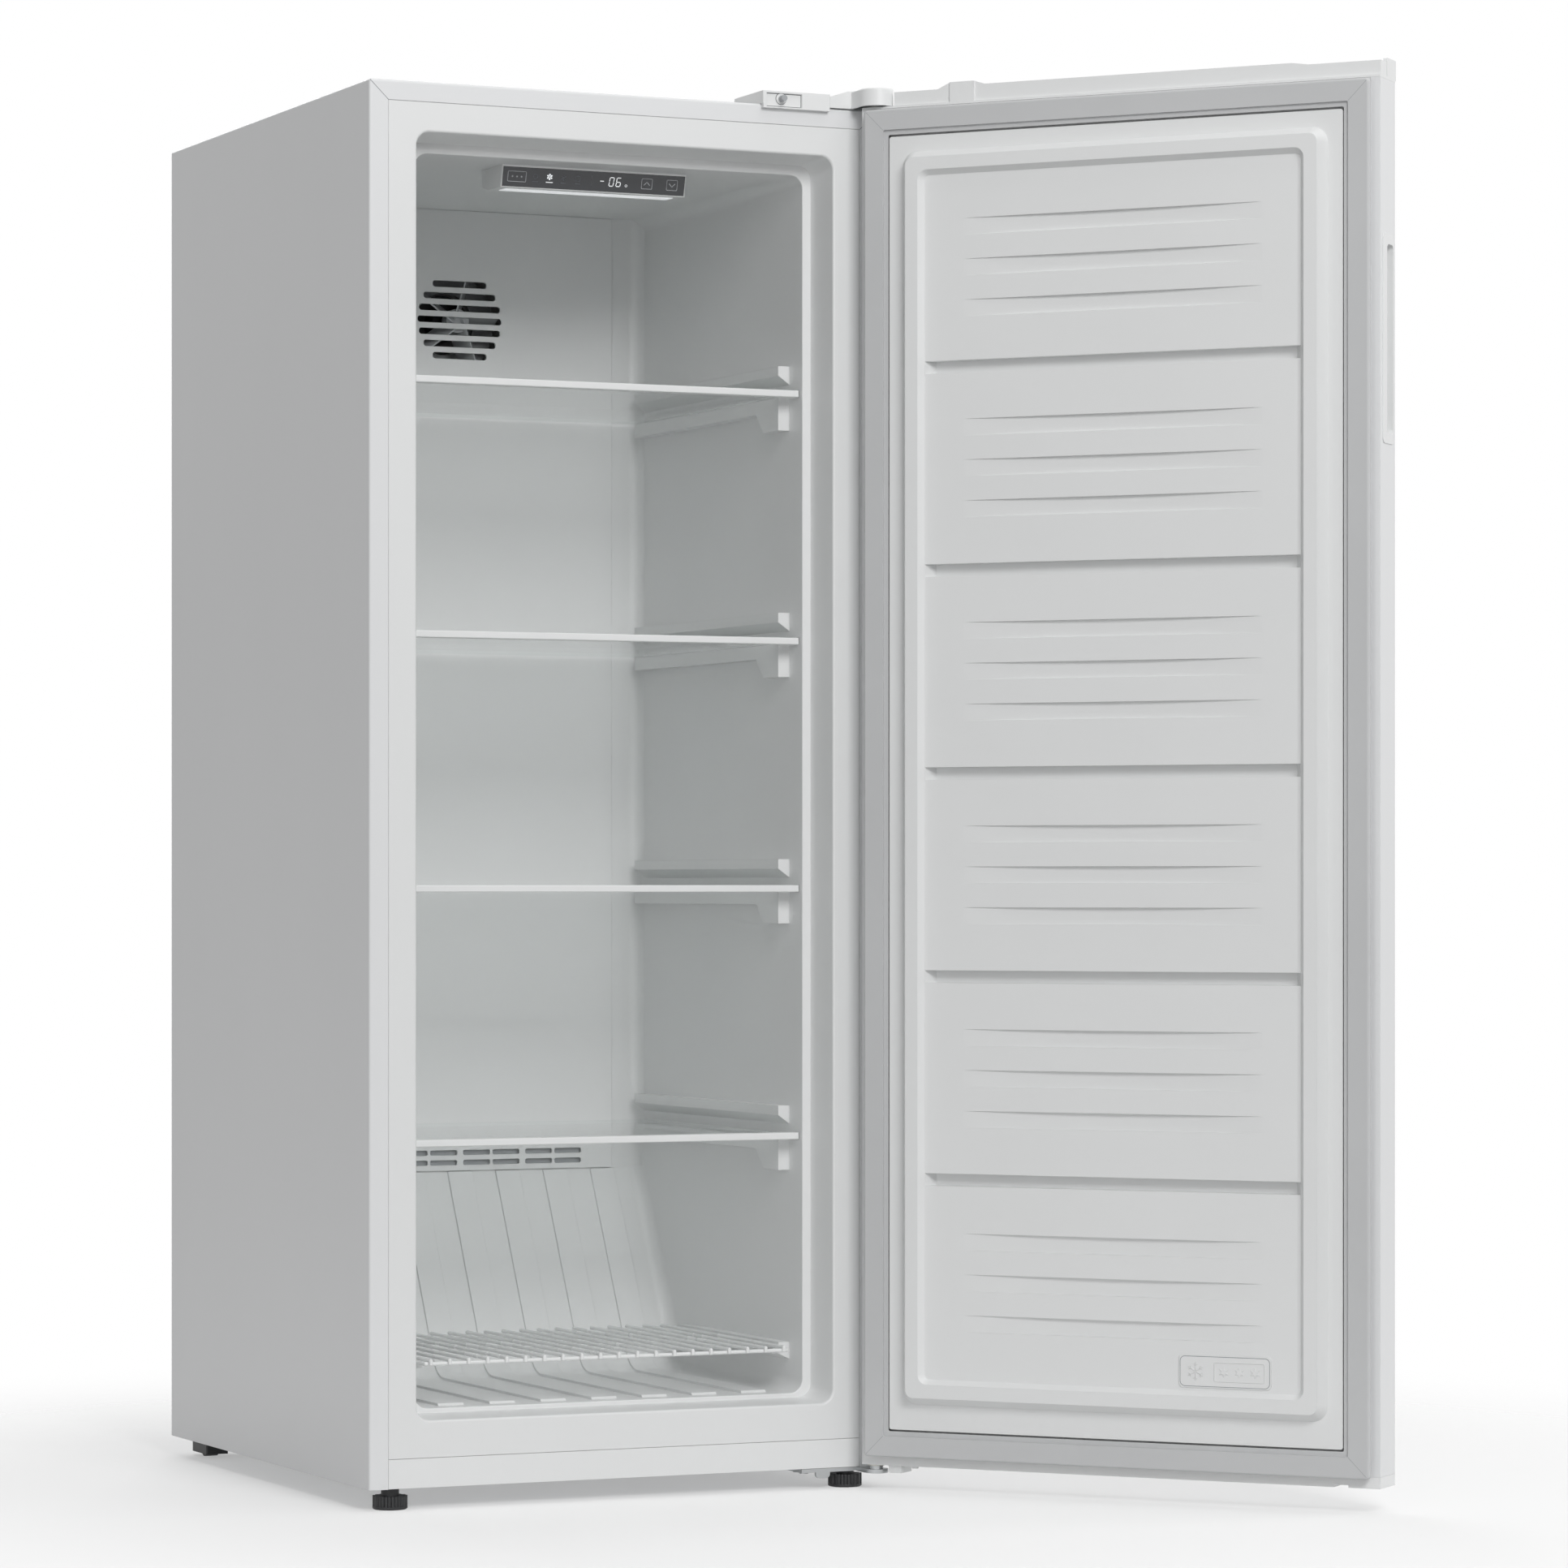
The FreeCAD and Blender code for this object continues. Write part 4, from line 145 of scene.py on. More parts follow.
# Welded steel wire dipped in white polyethylene: a thick glossy skin that runs round the joints.
DIPPED_WIRE = Finish("dipped_white_wire", "eff0f0", Surface.POLISHED, 0.26, "coated_wire", ior=1.51,
                     grain=3.0, relief=0.03, shade=0.01, edge=0.3)
# Extruded soft PVC of the magnetic gasket: flat light grey that swallows highlights.
SOFT_VINYL = Finish("grey_vinyl_gasket", "c9cacb", Surface.SOFT, 0.6, "seal", ior=1.53,
                    grain=0.8, relief=0.012, shade=0.02, edge=0.5)
# Glass-filled nylon and black ABS: a dull black with a fine spark-eroded texture.
BLACK_NYLON = Finish("black_moulded_nylon", "1e1f21", Surface.MOULDED, 0.48, "black_plastic", ior=1.53,
                     grain=0.6, relief=0.02, shade=0.08, edge=0.4)
# Light grey polypropylene of the air mover: a moulded blade with a low, even sheen.
GREY_BLADE = Finish("grey_polypropylene", "c6c9cb", Surface.MOULDED, 0.4, "black_plastic", ior=1.49,
                    grain=0.8, relief=0.01, shade=0.03, edge=0.3)
# Clear tempered float glass with a faint green cast in its thickness.
SHELF_GLASS = Finish("tempered_shelf_glass", "e4eeeb", Surface.GLASS, 0.02, "glass", ior=1.52)
# Smoked acrylic strip in front of the display: nearly black and mirror smooth.
SMOKED_ACRYLIC = Finish("smoked_acrylic", "303338", Surface.POLISHED, 0.14, "fascia", ior=1.49, coat=0.5,
                        grain=30.0, relief=0.01, shade=0.05, edge=0.3)
# Opal polycarbonate over the lamp: evenly bright and slightly matt.
OPAL_LENS = Finish("opal_polycarbonate", "f4f6f8", Surface.LIT, 0.42, "lens", ior=1.58)
# Rigid polyurethane foam as blown: cream with cells that show as a fine pitting.
BLOWN_FOAM = Finish("blown_polyurethane", "e2d3a6", Surface.CELLS, 0.9, "foam", grain=1.4, relief=0.25,
                    shade=0.1)
# Natural nylon bearings and drain parts: waxy off-white.
NATURAL_NYLON = Finish("natural_nylon", "dcdad2", Surface.MOULDED, 0.42, "bearing", ior=1.53)
# Acetal of the switch's plunger: a mid grey with a slippery, slightly waxy shine.
GREY_ACETAL = Finish("grey_acetal", "a9acaf", Surface.MOULDED, 0.3, "trim", ior=1.48, edge=0.3)
# Circuit board under green solder mask.
SOLDER_MASK = Finish("green_solder_mask", "1f5a33", Surface.POLISHED, 0.32, "board", grain=3.0,
                     relief=0.05, shade=0.15)
# Stoved black enamel on the compressor's shell: deep black with clear, hard highlights.
BLACK_ENAMEL = Finish("black_stoved_enamel", "16171a", Surface.PAINT, 0.22, "black_steel", coat=0.4,
                      grain=2.0, relief=0.015, shade=0.05)
# Drawn copper tube: warm metal with faint lengthwise lines.
DRAWN_COPPER = Finish("drawn_copper", "b8704c", Surface.DRAWN, 0.28, "copper", metal=1.0, grain=0.6,
                      relief=0.004, shade=0.1)
# Mill-finish aluminium fins: pale and slightly streaked.
MILL_ALUMINIUM = Finish("mill_aluminium", "c3c6c8", Surface.DRAWN, 0.3, "aluminium", metal=1.0, grain=0.8,
                        relief=0.004, shade=0.06)
# Stainless sheath of the defrost heater, browned a little by its heat.
HEATER_SHEATH = Finish("heater_sheath", "8d8b88", Surface.DRAWN, 0.4, "heater_sheath", metal=1.0, grain=0.6,
                       relief=0.004, shade=0.1)
# Moulded polystyrene foam of the air duct behind the rear cover: chalky pale grey beads.
DUCT_FOAM = Finish("bead_foam_duct", "c4c7c9", Surface.CELLS, 0.85, "liner", grain=3.5, relief=0.15, shade=0.04)
# Painted shade: a dark strip laid over the surface for the shaded bottom of a fine seam or line between two white
# parts.
SEAM_SHADE = Finish("seam_shade", "8f9296", Surface.MOULDED, 0.7, "trim", edge=0.05)
# Painted shade: a dark strip laid over the surface for the shade in the gap round a loose fitting part or in a
# recess.
GAP_SHADE = Finish("gap_shade", "55585c", Surface.MOULDED, 0.8, "trim", edge=0.05)
# Screen-printed white, seen lit from behind.
LIT_PRINT = Finish("lit_white_print", "f4f6f8", Surface.LIT, 0.4, "lens", edge=0.02)
# The same print with its lamp off: a grey that barely leaves the smoked strip.
UNLIT_PRINT = Finish("unlit_grey_print", "676b71", Surface.MOULDED, 0.5, "fascia", edge=0.02)
# Print on the strip that catches room light only.
PLAIN_PRINT = Finish("plain_white_print", "c9ccd0", Surface.MOULDED, 0.5, "lens", edge=0.02)


def linear(colour: str) -> Colour:
    """Turn an sRGB colour into the linear one that shaders take.

    Args:
        colour: Six hex digits.

    Returns:
        Linear red, green and blue, and an alpha of one.
    """
    shades = []
    for start in (0, 2, 4):
        value = int(colour[start:start + 2], 16) / 255
        shades.append(value / 12.92 if value <= 0.04045 else ((value + 0.055) / 1.055) ** 2.4)
    return shades[0], shades[1], shades[2], 1.0


def feed(tree: bpy.types.NodeTree, node: bpy.types.Node, inputs: dict[str | int, object]) -> None:
    """Give a node's inputs their values and links.

    Args:
        tree: The node tree.
        node: The node.
        inputs: Values or sockets by the name or number of the input.
    """
    for key, value in inputs.items():
        if isinstance(value, bpy.types.NodeSocket):
            tree.links.new(value, node.inputs[key])
        else:
            node.inputs[key].default_value = value


def add_node(tree: bpy.types.NodeTree, kind: str, inputs: dict[str | int, object] | None = None,
             **settings: object) -> bpy.types.Node:
    """Add a node with its settings, values and links.

    Args:
        tree: The node tree.
        kind: Blender's name of the node type.
        inputs: Values or sockets by the name or number of the input.
        **settings: The node's own settings.

    Returns:
        The new node.
    """
    node = tree.nodes.new(kind)
    for name, value in settings.items():
        setattr(node, name, value)
    feed(tree, node, inputs or {})
    return node


class Paint:
    """The node-based material of one finish."""

    COAT_ROUGHNESS: ClassVar[float] = 0.12
    LAMP_GLOW: ClassVar[float] = 0.45
    NOISE_MIDDLE: ClassVar[Flat] = (0.3, 0.7)
    CLOUDS: ClassVar[dict[str, float]] = {"Scale": 6.0, "Detail": 4.0, "Roughness": 0.55}
    WIPES: ClassVar[dict[str, float]] = {"Scale": 3.0, "Detail": 5.0}
    WIPE_STRETCH: ClassVar[Point] = (4.0, 4.0, 1.2)
    LOWEST_ROUGHNESS: ClassVar[float] = 0.02
    DRAWING_STRETCH: ClassVar[Point] = (1.0, 14.0, 14.0)
    GRAIN_DETAIL: ClassVar[float] = 2.0
    GRAIN_STRENGTH: ClassVar[float] = 0.6
    GLASS_ALPHA: ClassVar[float] = 0.35
    GLASS_WAVES: ClassVar[dict[str, float]] = {"Scale": 9.0, "Detail": 1.0}
    GLASS_RELIEF: ClassVar[dict[str, float]] = {"Distance": 0.02 * MILLIMETRE, "Strength": 0.3}

    def __init__(self, finish: Finish) -> None:
        """Build a finish's material.

        Args:
            finish: The finish.
        """
        self.finish = finish
        self.colour = linear(finish.colour)
        self.material = bpy.data.materials.new(finish.name)
        self.material.use_nodes = True
        self.tree = self.material.node_tree
        self.shader = self.tree.nodes["Principled BSDF"]
        self.place = add_node(self.tree, "ShaderNodeTexCoord").outputs["Object"]
        feed(self.tree, self.shader, {
            "Base Color": self.colour, "Metallic": finish.metal, "IOR": finish.ior, "Coat Weight": finish.coat,
            "Coat Roughness": self.COAT_ROUGHNESS})
        if finish.surface is Surface.GLASS:
            self.glaze()
            return
        self.drift_colour()
        self.drift_gloss()
        self.raise_grain()
        if finish.surface is Surface.LIT:
            feed(self.tree, self.shader, {"Emission Color": self.colour, "Emission Strength": self.LAMP_GLOW})

    def drift_colour(self) -> None:
        """Let the colour drift a little over the surface, and by crystal on galvanised sheet."""
        if self.finish.surface is Surface.SPANGLE:
            cells = add_node(self.tree, "ShaderNodeTexVoronoi", {
                "Vector": self.place, "Scale": METRE / self.finish.grain})
            spread = add_node(self.tree, "ShaderNodeRGBToBW", {"Color": cells.outputs["Color"]}).outputs["Val"]
        else:
            spread = add_node(self.tree, "ShaderNodeTexNoise", {"Vector": self.place, **self.CLOUDS}).outputs["Fac"]
        ramp = add_node(self.tree, "ShaderNodeValToRGB", {"Fac": spread})
        changes = (-self.finish.shade, self.finish.shade)
        for stop, position, change in zip(ramp.color_ramp.elements, self.NOISE_MIDDLE, changes):
            stop.position = position
            stop.color = [min(1.0, channel * (1 + change)) for channel in self.colour[:3]] + [1.0]
        feed(self.tree, self.shader, {"Base Color": ramp.outputs["Color"]})

    def drift_gloss(self) -> None:
        """Let the roughness drift in long soft wipes, as a cloth leaves them."""
        rough, wipe = self.finish.rough, self.finish.wipe
        wiped = add_node(self.tree, "ShaderNodeMapping", {"Vector": self.place, "Scale": self.WIPE_STRETCH})
        noise = add_node(self.tree, "ShaderNodeTexNoise", {"Vector": wiped.outputs["Vector"], **self.WIPES})
        low, high = self.NOISE_MIDDLE
        span = add_node(self.tree, "ShaderNodeMapRange", {
            "Value": noise.outputs["Fac"], "From Min": low, "From Max": high,
            "To Min": max(self.LOWEST_ROUGHNESS, rough - wipe), "To Max": min(1.0, rough + wipe)})
        feed(self.tree, self.shader, {"Roughness": span.outputs["Result"]})

    def raise_grain(self) -> None:
        """Soften sharp edges in the shading and add the surface's fine relief."""
        where = self.place
        if self.finish.surface is Surface.DRAWN:
            where = add_node(self.tree, "ShaderNodeMapping", {
                "Vector": self.place, "Scale": self.DRAWING_STRETCH}).outputs["Vector"]
        grains = {"Vector": where, "Scale": METRE / self.finish.grain}
        if self.finish.surface is Surface.CELLS:
            height = add_node(self.tree, "ShaderNodeTexVoronoi", grains).outputs["Distance"]
        else:
            height = add_node(self.tree, "ShaderNodeTexNoise", {**grains, "Detail": self.GRAIN_DETAIL}).outputs["Fac"]
        edges = add_node(self.tree, "ShaderNodeBevel", {"Radius": self.finish.edge * MILLIMETRE}, samples=4)
        bump = add_node(self.tree, "ShaderNodeBump", {
            "Height": height, "Normal": edges.outputs["Normal"], "Distance": self.finish.relief * MILLIMETRE,
            "Strength": self.GRAIN_STRENGTH})
        feed(self.tree, self.shader, {"Normal": bump.outputs["Normal"]})

    def glaze(self) -> None:
        """Set up clear float glass whose reflections are faintly wavy from tempering."""
        waves = add_node(self.tree, "ShaderNodeTexNoise", {"Vector": self.place, **self.GLASS_WAVES})
        bump = add_node(self.tree, "ShaderNodeBump", {"Height": waves.outputs["Fac"], **self.GLASS_RELIEF})
        feed(self.tree, self.shader, {
            "Transmission Weight": 1.0, "Roughness": self.finish.rough, "Alpha": self.GLASS_ALPHA,
            "Normal": bump.outputs["Normal"]})


class PaintShop:
    """Keeps one material for each finish."""

    def __init__(self) -> None:
        """Start with no materials."""
        self.made: dict[str, bpy.types.Material] = {}

    def get(self, finish: Finish) -> bpy.types.Material:
        """Give the material of a finish, making it the first time.

        Args:
            finish: The finish.

        Returns:
            The material.
        """
        if finish.name not in self.made:
            self.made[finish.name] = Paint(finish).material
        return self.made[finish.name]


# --- places and meshes -----------------------------------------------------------------------------
class Place:
    """Turns points given in millimetres into the row's metres."""

    def __init__(self, matrix: Matrix) -> None:
        """Keep the transform."""
        self.matrix = matrix

    def __call__(self, point: Sequence[float]) -> Vector:
        """Place a point given in millimetres."""
        return self.matrix @ Vector(point)

    @classmethod
    def of_cabinet(cls) -> "Place":
        """Read the cabinet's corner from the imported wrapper.

        Returns:
            The place that takes cabinet millimetres.
        """
        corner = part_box("outer_wrapper")[0]
        return cls(Matrix.Translation(corner) @ Matrix.Scale(MILLIMETRE, 4))

    def swung(self, hinge: Flat, angle: float) -> "Place":
        """Add the door's opening turn.

        Args:
            hinge: X and Y of the hinge line.
            angle: How far the door stands open, in degrees.

        Returns:
            The place that takes millimetres on the closed door.
        """
        line = Vector((*hinge, 0.0))
        turn = Matrix.Rotation(math.radians(angle), 4, "Z")
        return Place(self.matrix @ Matrix.Translation(line) @ turn @ Matrix.Translation(-line))

    def facing(self, origin: Point, across: Point, up: Point) -> "Place":
        """Lay a flat drawing on a face: its X runs across, its Y up and its Z out of the face.

        Args:
            origin: The drawing's origin on the face.
            across: Direction of the drawing's X.
            up: Direction of the drawing's Y.

        Returns:
            The place that takes the drawing's millimetres.
        """
        right = Vector(across).normalized()
        top = Vector(up).normalized()
        turn = Matrix((right, top, right.cross(top))).transposed().to_4x4()
        return Place(self.matrix @ Matrix.Translation(Vector(origin)) @ turn)


class Sculptor:
    """Collects simple solids in a place and turns them into one piece."""

    def __init__(self, place: Place) -> None:
        """Start an empty mesh in a place."""
        self.place = place
        self.mesh = bmesh.new()

    def loft(self, rings: Sequence[Sequence[Point]]) -> None:
        """Skin a closed solid over rings that have the same number of points.

        Args:
            rings: The rings, from the first end to the last.
        """
        rows = [[self.mesh.verts.new(self.place(point)) for point in ring] for ring in rings]
        for low, high in zip(rows, rows[1:]):
            for i, corner in enumerate(low):
                after = (i + 1) % len(low)
                self.mesh.faces.new((corner, low[after], high[after], high[i]))
        self.mesh.faces.new(list(reversed(rows[0])))
        self.mesh.faces.new(rows[-1])

    def plate(self, outline: Sequence[Flat], relief: Flat) -> None:
        """Raise an outline into a plate.

        Args:
            outline: X and Y of its corners, anticlockwise.
            relief: Heights of its back and its face.
        """
        self.loft([[(x, y, height) for x, y in outline] for height in relief])

    def line(self, start: Flat, end: Flat, width: float, relief: Flat) -> None:
        """Raise a straight strip between two points.

        Args:
            start: X and Y of one end.
            end: X and Y of the other.
            width: Its width.
            relief: Heights of its back and its face.
        """
        along = Vector(end) - Vector(start)
        side = Vector((-along.y, along.x)).normalized() * width / 2
        corners = [Vector(start) - side, Vector(end) - side, Vector(end) + side, Vector(start) + side]
        self.plate([(corner.x, corner.y) for corner in corners], relief)

    def path(self, points: Sequence[Flat], width: float, relief: Flat) -> None:
        """Raise a closed ribbon along a ring of points, with even width at its bends.

        Args:
            points: The ring's points, anticlockwise.
            width: Width of the ribbon.
            relief: Heights of its back and its face.
        """
        sharpest = 0.5  # cosine of the sharpest half bend that keeps its width
        low, high = relief
        count = len(points)
        rows = []
        for i in range(count):
            before, here, after = (Vector(points[(i + step) % count]) for step in (-1, 0, 1))
            normals = [Vector((-leg.y, leg.x)).normalized() for leg in (here - before, after - here)]
            mid = (normals[0] + normals[1]).normalized()
            reach = width / 2 / max(sharpest, mid.dot(normals[0]))
            inner, outer = here + mid * reach, here - mid * reach
            rows.append([self.mesh.verts.new(self.place((spot.x, spot.y, height))) for spot, height in (
                (outer, low), (outer, high), (inner, high), (inner, low))])
        for i, row in enumerate(rows):
            after = rows[(i + 1) % count]
            for k in range(4):
                self.mesh.faces.new((row[k], after[k], after[(k + 1) % 4], row[(k + 1) % 4]))

    def frame(self, low_corner: Flat, high_corner: Flat, radius: float, width: float, relief: Flat) -> None:
        """Raise a rectangular outline with round corners.

        Args:
            low_corner: Its lowest X and Y.
            high_corner: Its highest X and Y.
            radius: Radius of its corners.
            width: Width of the strip.
            relief: Heights of its back and its face.
        """
        self.path(rounded(low_corner, high_corner, radius), width, relief)

    def disc(self, centre: Flat, radius: float, relief: Flat, sides: int, dome: float = 0.0) -> None:
        """Raise a disc, with its rim rounded off when it is domed.

        Args:
            centre: X and Y of its centre.
            radius: Its radius.
            relief: Heights of its back and its face.
            sides: Number of sides.
            dome: How far the face shrinks at its rim.
        """
        low, high = relief
        levels = [(low, radius), (high, radius)]
        if dome:
            drop = (high - low) * 0.5
            levels = [(low, radius), (high - drop, radius), (high - drop * 0.3, radius - dome * 0.5),
                      (high, radius - dome)]
        self.loft([[(*point, height) for point in circle(reach, sides, centre)] for height, reach in levels])


def polar(reach: float, turn: float, centre: Flat = (0.0, 0.0)) -> Flat:
    """Give the point at a distance and a turn in radians from a centre."""
    return centre[0] + reach * math.cos(turn), centre[1] + reach * math.sin(turn)


def circle(radius: float, sides: int, centre: Flat = (0.0, 0.0)) -> list[Flat]:
    """Give the corners of a many-sided circle, anticlockwise."""
    return [polar(radius, math.tau * i / sides, centre) for i in range(sides)]


def rounded(low_corner: Flat, high_corner: Flat, radius: float, steps: int = 6) -> list[Flat]:
    """Trace a rectangle with round corners.

    Args:
        low_corner: Its lowest X and Y.
        high_corner: Its highest X and Y.
        radius: Radius of its corners.
        steps: Points on each corner.

    Returns:
        Its points, anticlockwise.
    """
    (left, base), (right, top) = low_corner, high_corner
    if radius <= 0:
        return [(left, base), (right, base), (right, top), (left, top)]
    points = []
    for x, y, start in ((right - radius, base + radius, -90), (right - radius, top - radius, 0),
                        (left + radius, top - radius, 90), (left + radius, base + radius, 180)):
        points += [polar(radius, math.radians(start + 90 * step / steps), (x, y)) for step in range(steps + 1)]
    return points


def snowflake(sculptor: Sculptor, centre: Flat, reach: float, thick: float, relief: Flat) -> None:
    """Draw a six-armed snow crystal with small side arms.

    Args:
        sculptor: Takes the strips.
        centre: X and Y of its middle.
        reach: Length of an arm.
        thick: Width of the strips.
        relief: Heights of their backs and faces.
    """
    hub, fork_share, fork_turn, fork_reach, fork_thick = 0.6, 0.62, 48, 0.3, 0.8
    middle = Vector(centre)
    for arm in range(6):
        out = Vector(polar(1.0, math.radians(60 * arm + 30)))
        sculptor.line(tuple(middle + out * thick * hub), tuple(middle + out * reach), thick, relief)
        fork = middle + out * reach * fork_share
        for side in (-1, 1):
            away = Matrix.Rotation(math.radians(fork_turn * side), 2) @ out
            sculptor.line(tuple(fork), tuple(fork + away * reach * fork_reach), thick * fork_thick, relief)


def add_object(name: str, data: bpy.types.ID) -> bpy.types.Object:
    """Add an object with its data to the scene."""
    made = bpy.data.objects.new(name, data)
    bpy.context.scene.collection.objects.link(made)
    return made


def add_mesh(name: str, mesh: bmesh.types.BMesh, material: bpy.types.Material) -> bpy.types.Object:
    """Add a finished mesh to the scene in a material.

    Args:
        name: Name of the object.
        mesh: The mesh, which is used up.
        material: Its material.

    Returns:
        The object.
    """
    data = bpy.data.meshes.new(name)
    mesh.to_mesh(data)
    mesh.free()
    data.materials.append(material)
    return add_object(name, data)


@dataclass(frozen=True)
class ScrewHeads:
    """A set of cross-recessed screw heads.

    Args:
        spots: X and Y of each.
        radius: Radius of a head.
        rise: Height of a head.
    """

    spots: Sequence[Flat]
    radius: float
    rise: float

    SUNK: ClassVar[float] = -0.05
    SIDES: ClassVar[int] = 28
    DOME: ClassVar[float] = 0.4
    CROSS_REACH: ClassVar[float] = 0.5
    CROSS_WIDTH: ClassVar[float] = 0.24
    CROSS_RISE: ClassVar[float] = 0.03

    def heads(self, sculptor: Sculptor) -> None:
        """Draw the domed heads."""
        for spot in self.spots:
            sculptor.disc(spot, self.radius, (self.SUNK, self.rise), self.SIDES, self.radius * self.DOME)

    def crosses(self, sculptor: Sculptor) -> None:
        """Draw the dark crosses of painted shade that stand for the recesses."""
        reach, width = self.radius * self.CROSS_REACH, self.radius * self.CROSS_WIDTH
        relief = (0.0, self.rise + self.CROSS_RISE)
        for x, y in self.spots:
            sculptor.line((x - reach, y), (x + reach, y), width, relief)
            sculptor.line((x, y - reach), (x, y + reach), width, relief)


@dataclass
class Bench:
    """What every sub-assembly needs to build and dress its pieces.

    Args:
        paint: Makes the materials.
        nodes: The frame's nodes by name.
        cabinet: Takes millimetres on the cabinet.
        door: Takes millimetres on the closed door and lays them on the open one.
    """

    paint: PaintShop
    nodes: dict[str, bpy.types.Object]
    cabinet: Place
    door: Place

    def dress(self, finishes: Finishes) -> None:
        """Give nodes their finishes.

        Args:
            finishes: Names of the nodes by finish.
        """
        for finish, names in finishes.items():
            for name in names:
                data = self.nodes[name].data
                data.materials.clear()
                data.materials.append(self.paint.get(finish))
                LOG.info("finished %s in %s", name, finish.name)

    def add(self, name: str, body: str, finish: Finish, place: Place, draw: Callable[[Sculptor], None],
            edge: float = 0.0) -> None:
        """Make one piece from a drawing and let it ride on a body.

        Args:
            name: The piece's name.
            body: The body that carries it.
            finish: Its finish.
            place: Where it is drawn.
            draw: Adds its solids to a sculptor.
            edge: Radius of its edges, in millimetres.
        """
        sculptor = Sculptor(place)
        draw(sculptor)
        bmesh.ops.recalc_face_normals(sculptor.mesh, faces=sculptor.mesh.faces)
        piece = add_mesh(name, sculptor.mesh, self.paint.get(finish))
        if edge:
            rounding = piece.modifiers.new("edges", "BEVEL")
            rounding.width = edge * MILLIMETRE
            rounding.segments = 2
            rounding.limit_method = "ANGLE"
        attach(piece, body)
        LOG.info("added %s on %s", name, body)

    def screws(self, name: str, place: Place, screws: ScrewHeads) -> None:
        """Make a set of screw heads on the cabinet, with the painted shade of their recesses as a second piece.

        Args:
            name: The piece's name.
            place: Where they are drawn.
            screws: The set.
        """
        self.add(name, "cabinet", ZINC_PLATE, place, screws.heads)
        self.add(name + "_recess_shade", "cabinet", GAP_SHADE, place, screws.crosses)


# --- sub-assemblies --------------------------------------------------------------------------------
@dataclass
class Assembly:
    """One sub-assembly, with the finishes of its solids and the pieces that they don't carry."""

    bench: Bench

    FINISHES: ClassVar[Finishes] = {}

    def build(self) -> None:
        """Dress the solids and add the small pieces."""
        self.bench.dress(self.FINISHES)
        self.add_details()

    def add_details(self) -> None:
        """Add the small pieces, if there are any."""


@dataclass
class Wrapper(Assembly):
    """The steel wrapper with its folded flange, and the sheet that closes its back."""

    width: float = 560.0
    height: float = 1400.0
    flange: Flat = (20.5, 20.0)
    mitre_inset: float = 1.2
    mitre_width: float = 0.6
    sheet_face: float = 609.0
    screw_inset: float = 6.5
    screw_levels: tuple[float, ...] = (300.0, 560.0, 820.0, 1080.0, 1340.0)
    screw_columns: tuple[float, ...] = (140.0, 280.0, 420.0)
    screw_head: Flat = (3.6, 0.9)

    FINISHES: ClassVar[Finishes] = {
        POWDER_COAT: ("outer_wrapper",),
        GALVANISED: ("back_panel",),
        BLOWN_FOAM: ("cabinet_foam",),
    }

    def mitres(self, sculptor: Sculptor) -> None:
        """Draw the painted shade in the joints at the flange's upper corners, where its folds meet at 45 degrees."""
        inset, (side, fold) = self.mitre_inset, self.flange
        for edge, inward in ((0.0, 1), (self.width, -1)):
            sculptor.line((edge + inset * inward, self.height - inset), (edge + side * inward, self.height - fold),
                          self.mitre_width, SEAM_RELIEF)

    def screw_spots(self) -> list[Flat]:
        """List the screws along the edges of the back sheet."""
        sides = [(x, z) for x in (self.screw_inset, self.width - self.screw_inset) for z in self.screw_levels]
        return sides + [(x, self.height - self.screw_inset) for x in self.screw_columns]

    def add_details(self) -> None:
        """Add the painted shade in the flange's seams, and the back sheet's flat screws."""
        front = self.bench.cabinet.facing((0, 0, 0), RIGHT, UP)
        self.bench.add("flange_mitre_shade", "cabinet", SEAM_SHADE, front, self.mitres)
        back = self.bench.cabinet.facing((self.width, self.sheet_face, 0), LEFT, UP)
        self.bench.screws("back_screws", back, ScrewHeads(self.screw_spots(), *self.screw_head))


@dataclass
class Storage(Assembly):
    """The formed liner with its shelves, rails and the cover over the evaporator."""

    duct_corners: tuple[Flat, Flat] = ((112.0, 293.0), (448.0, 322.0))
    duct_depth: Flat = (470.4, 472.6)
    fan: Flat = (280.0, 1215.0)
    orifice_radii: Flat = (34.0, 58.0)
    orifice_depth: Flat = (512.0, 514.0)
    orifice_sides: int = 72

    FINISHES: ClassVar[Finishes] = {
        FORMED_LINER: ("inner_liner", "left_supports", "right_supports", "evaporator_cover"),
        SHELF_GLASS: ("shelf_glass_1", "shelf_glass_2", "shelf_glass_3", "shelf_glass_4"),
        MOULDED_ABS: ("shelf_trim_1", "shelf_trim_2", "shelf_trim_3", "shelf_trim_4"),
        DIPPED_WIRE: ("wire_shelf",),
    }

    def duct(self, sculptor: Sculptor) -> None:
        """Draw the foam air duct that shows through the slots low in the rear cover."""
        near, far = self.duct_depth
        sculptor.plate(rounded(*self.duct_corners, 0.0), (0.0, far - near))

    def orifice(self, sculptor: Sculptor) -> None:
        """Draw the pale ring behind the fan, which shows between its blades through the grille."""
        inner, outer = self.orifice_radii
        near, far = self.orifice_depth
        sculptor.path(circle((inner + outer) / 2, self.orifice_sides), outer - inner, (0.0, far - near))

    def add_details(self) -> None:
        """Add the air duct and the ring behind the fan."""
        behind_slots = self.bench.cabinet.facing((0, self.duct_depth[1], 0), RIGHT, UP)
        self.bench.add("air_duct", "cabinet", DUCT_FOAM, behind_slots, self.duct)
        behind_fan = self.bench.cabinet.facing((self.fan[0], self.orifice_depth[1], self.fan[1]), RIGHT, UP)
        self.bench.add("fan_orifice", "cabinet", DUCT_FOAM, behind_fan, self.orifice)


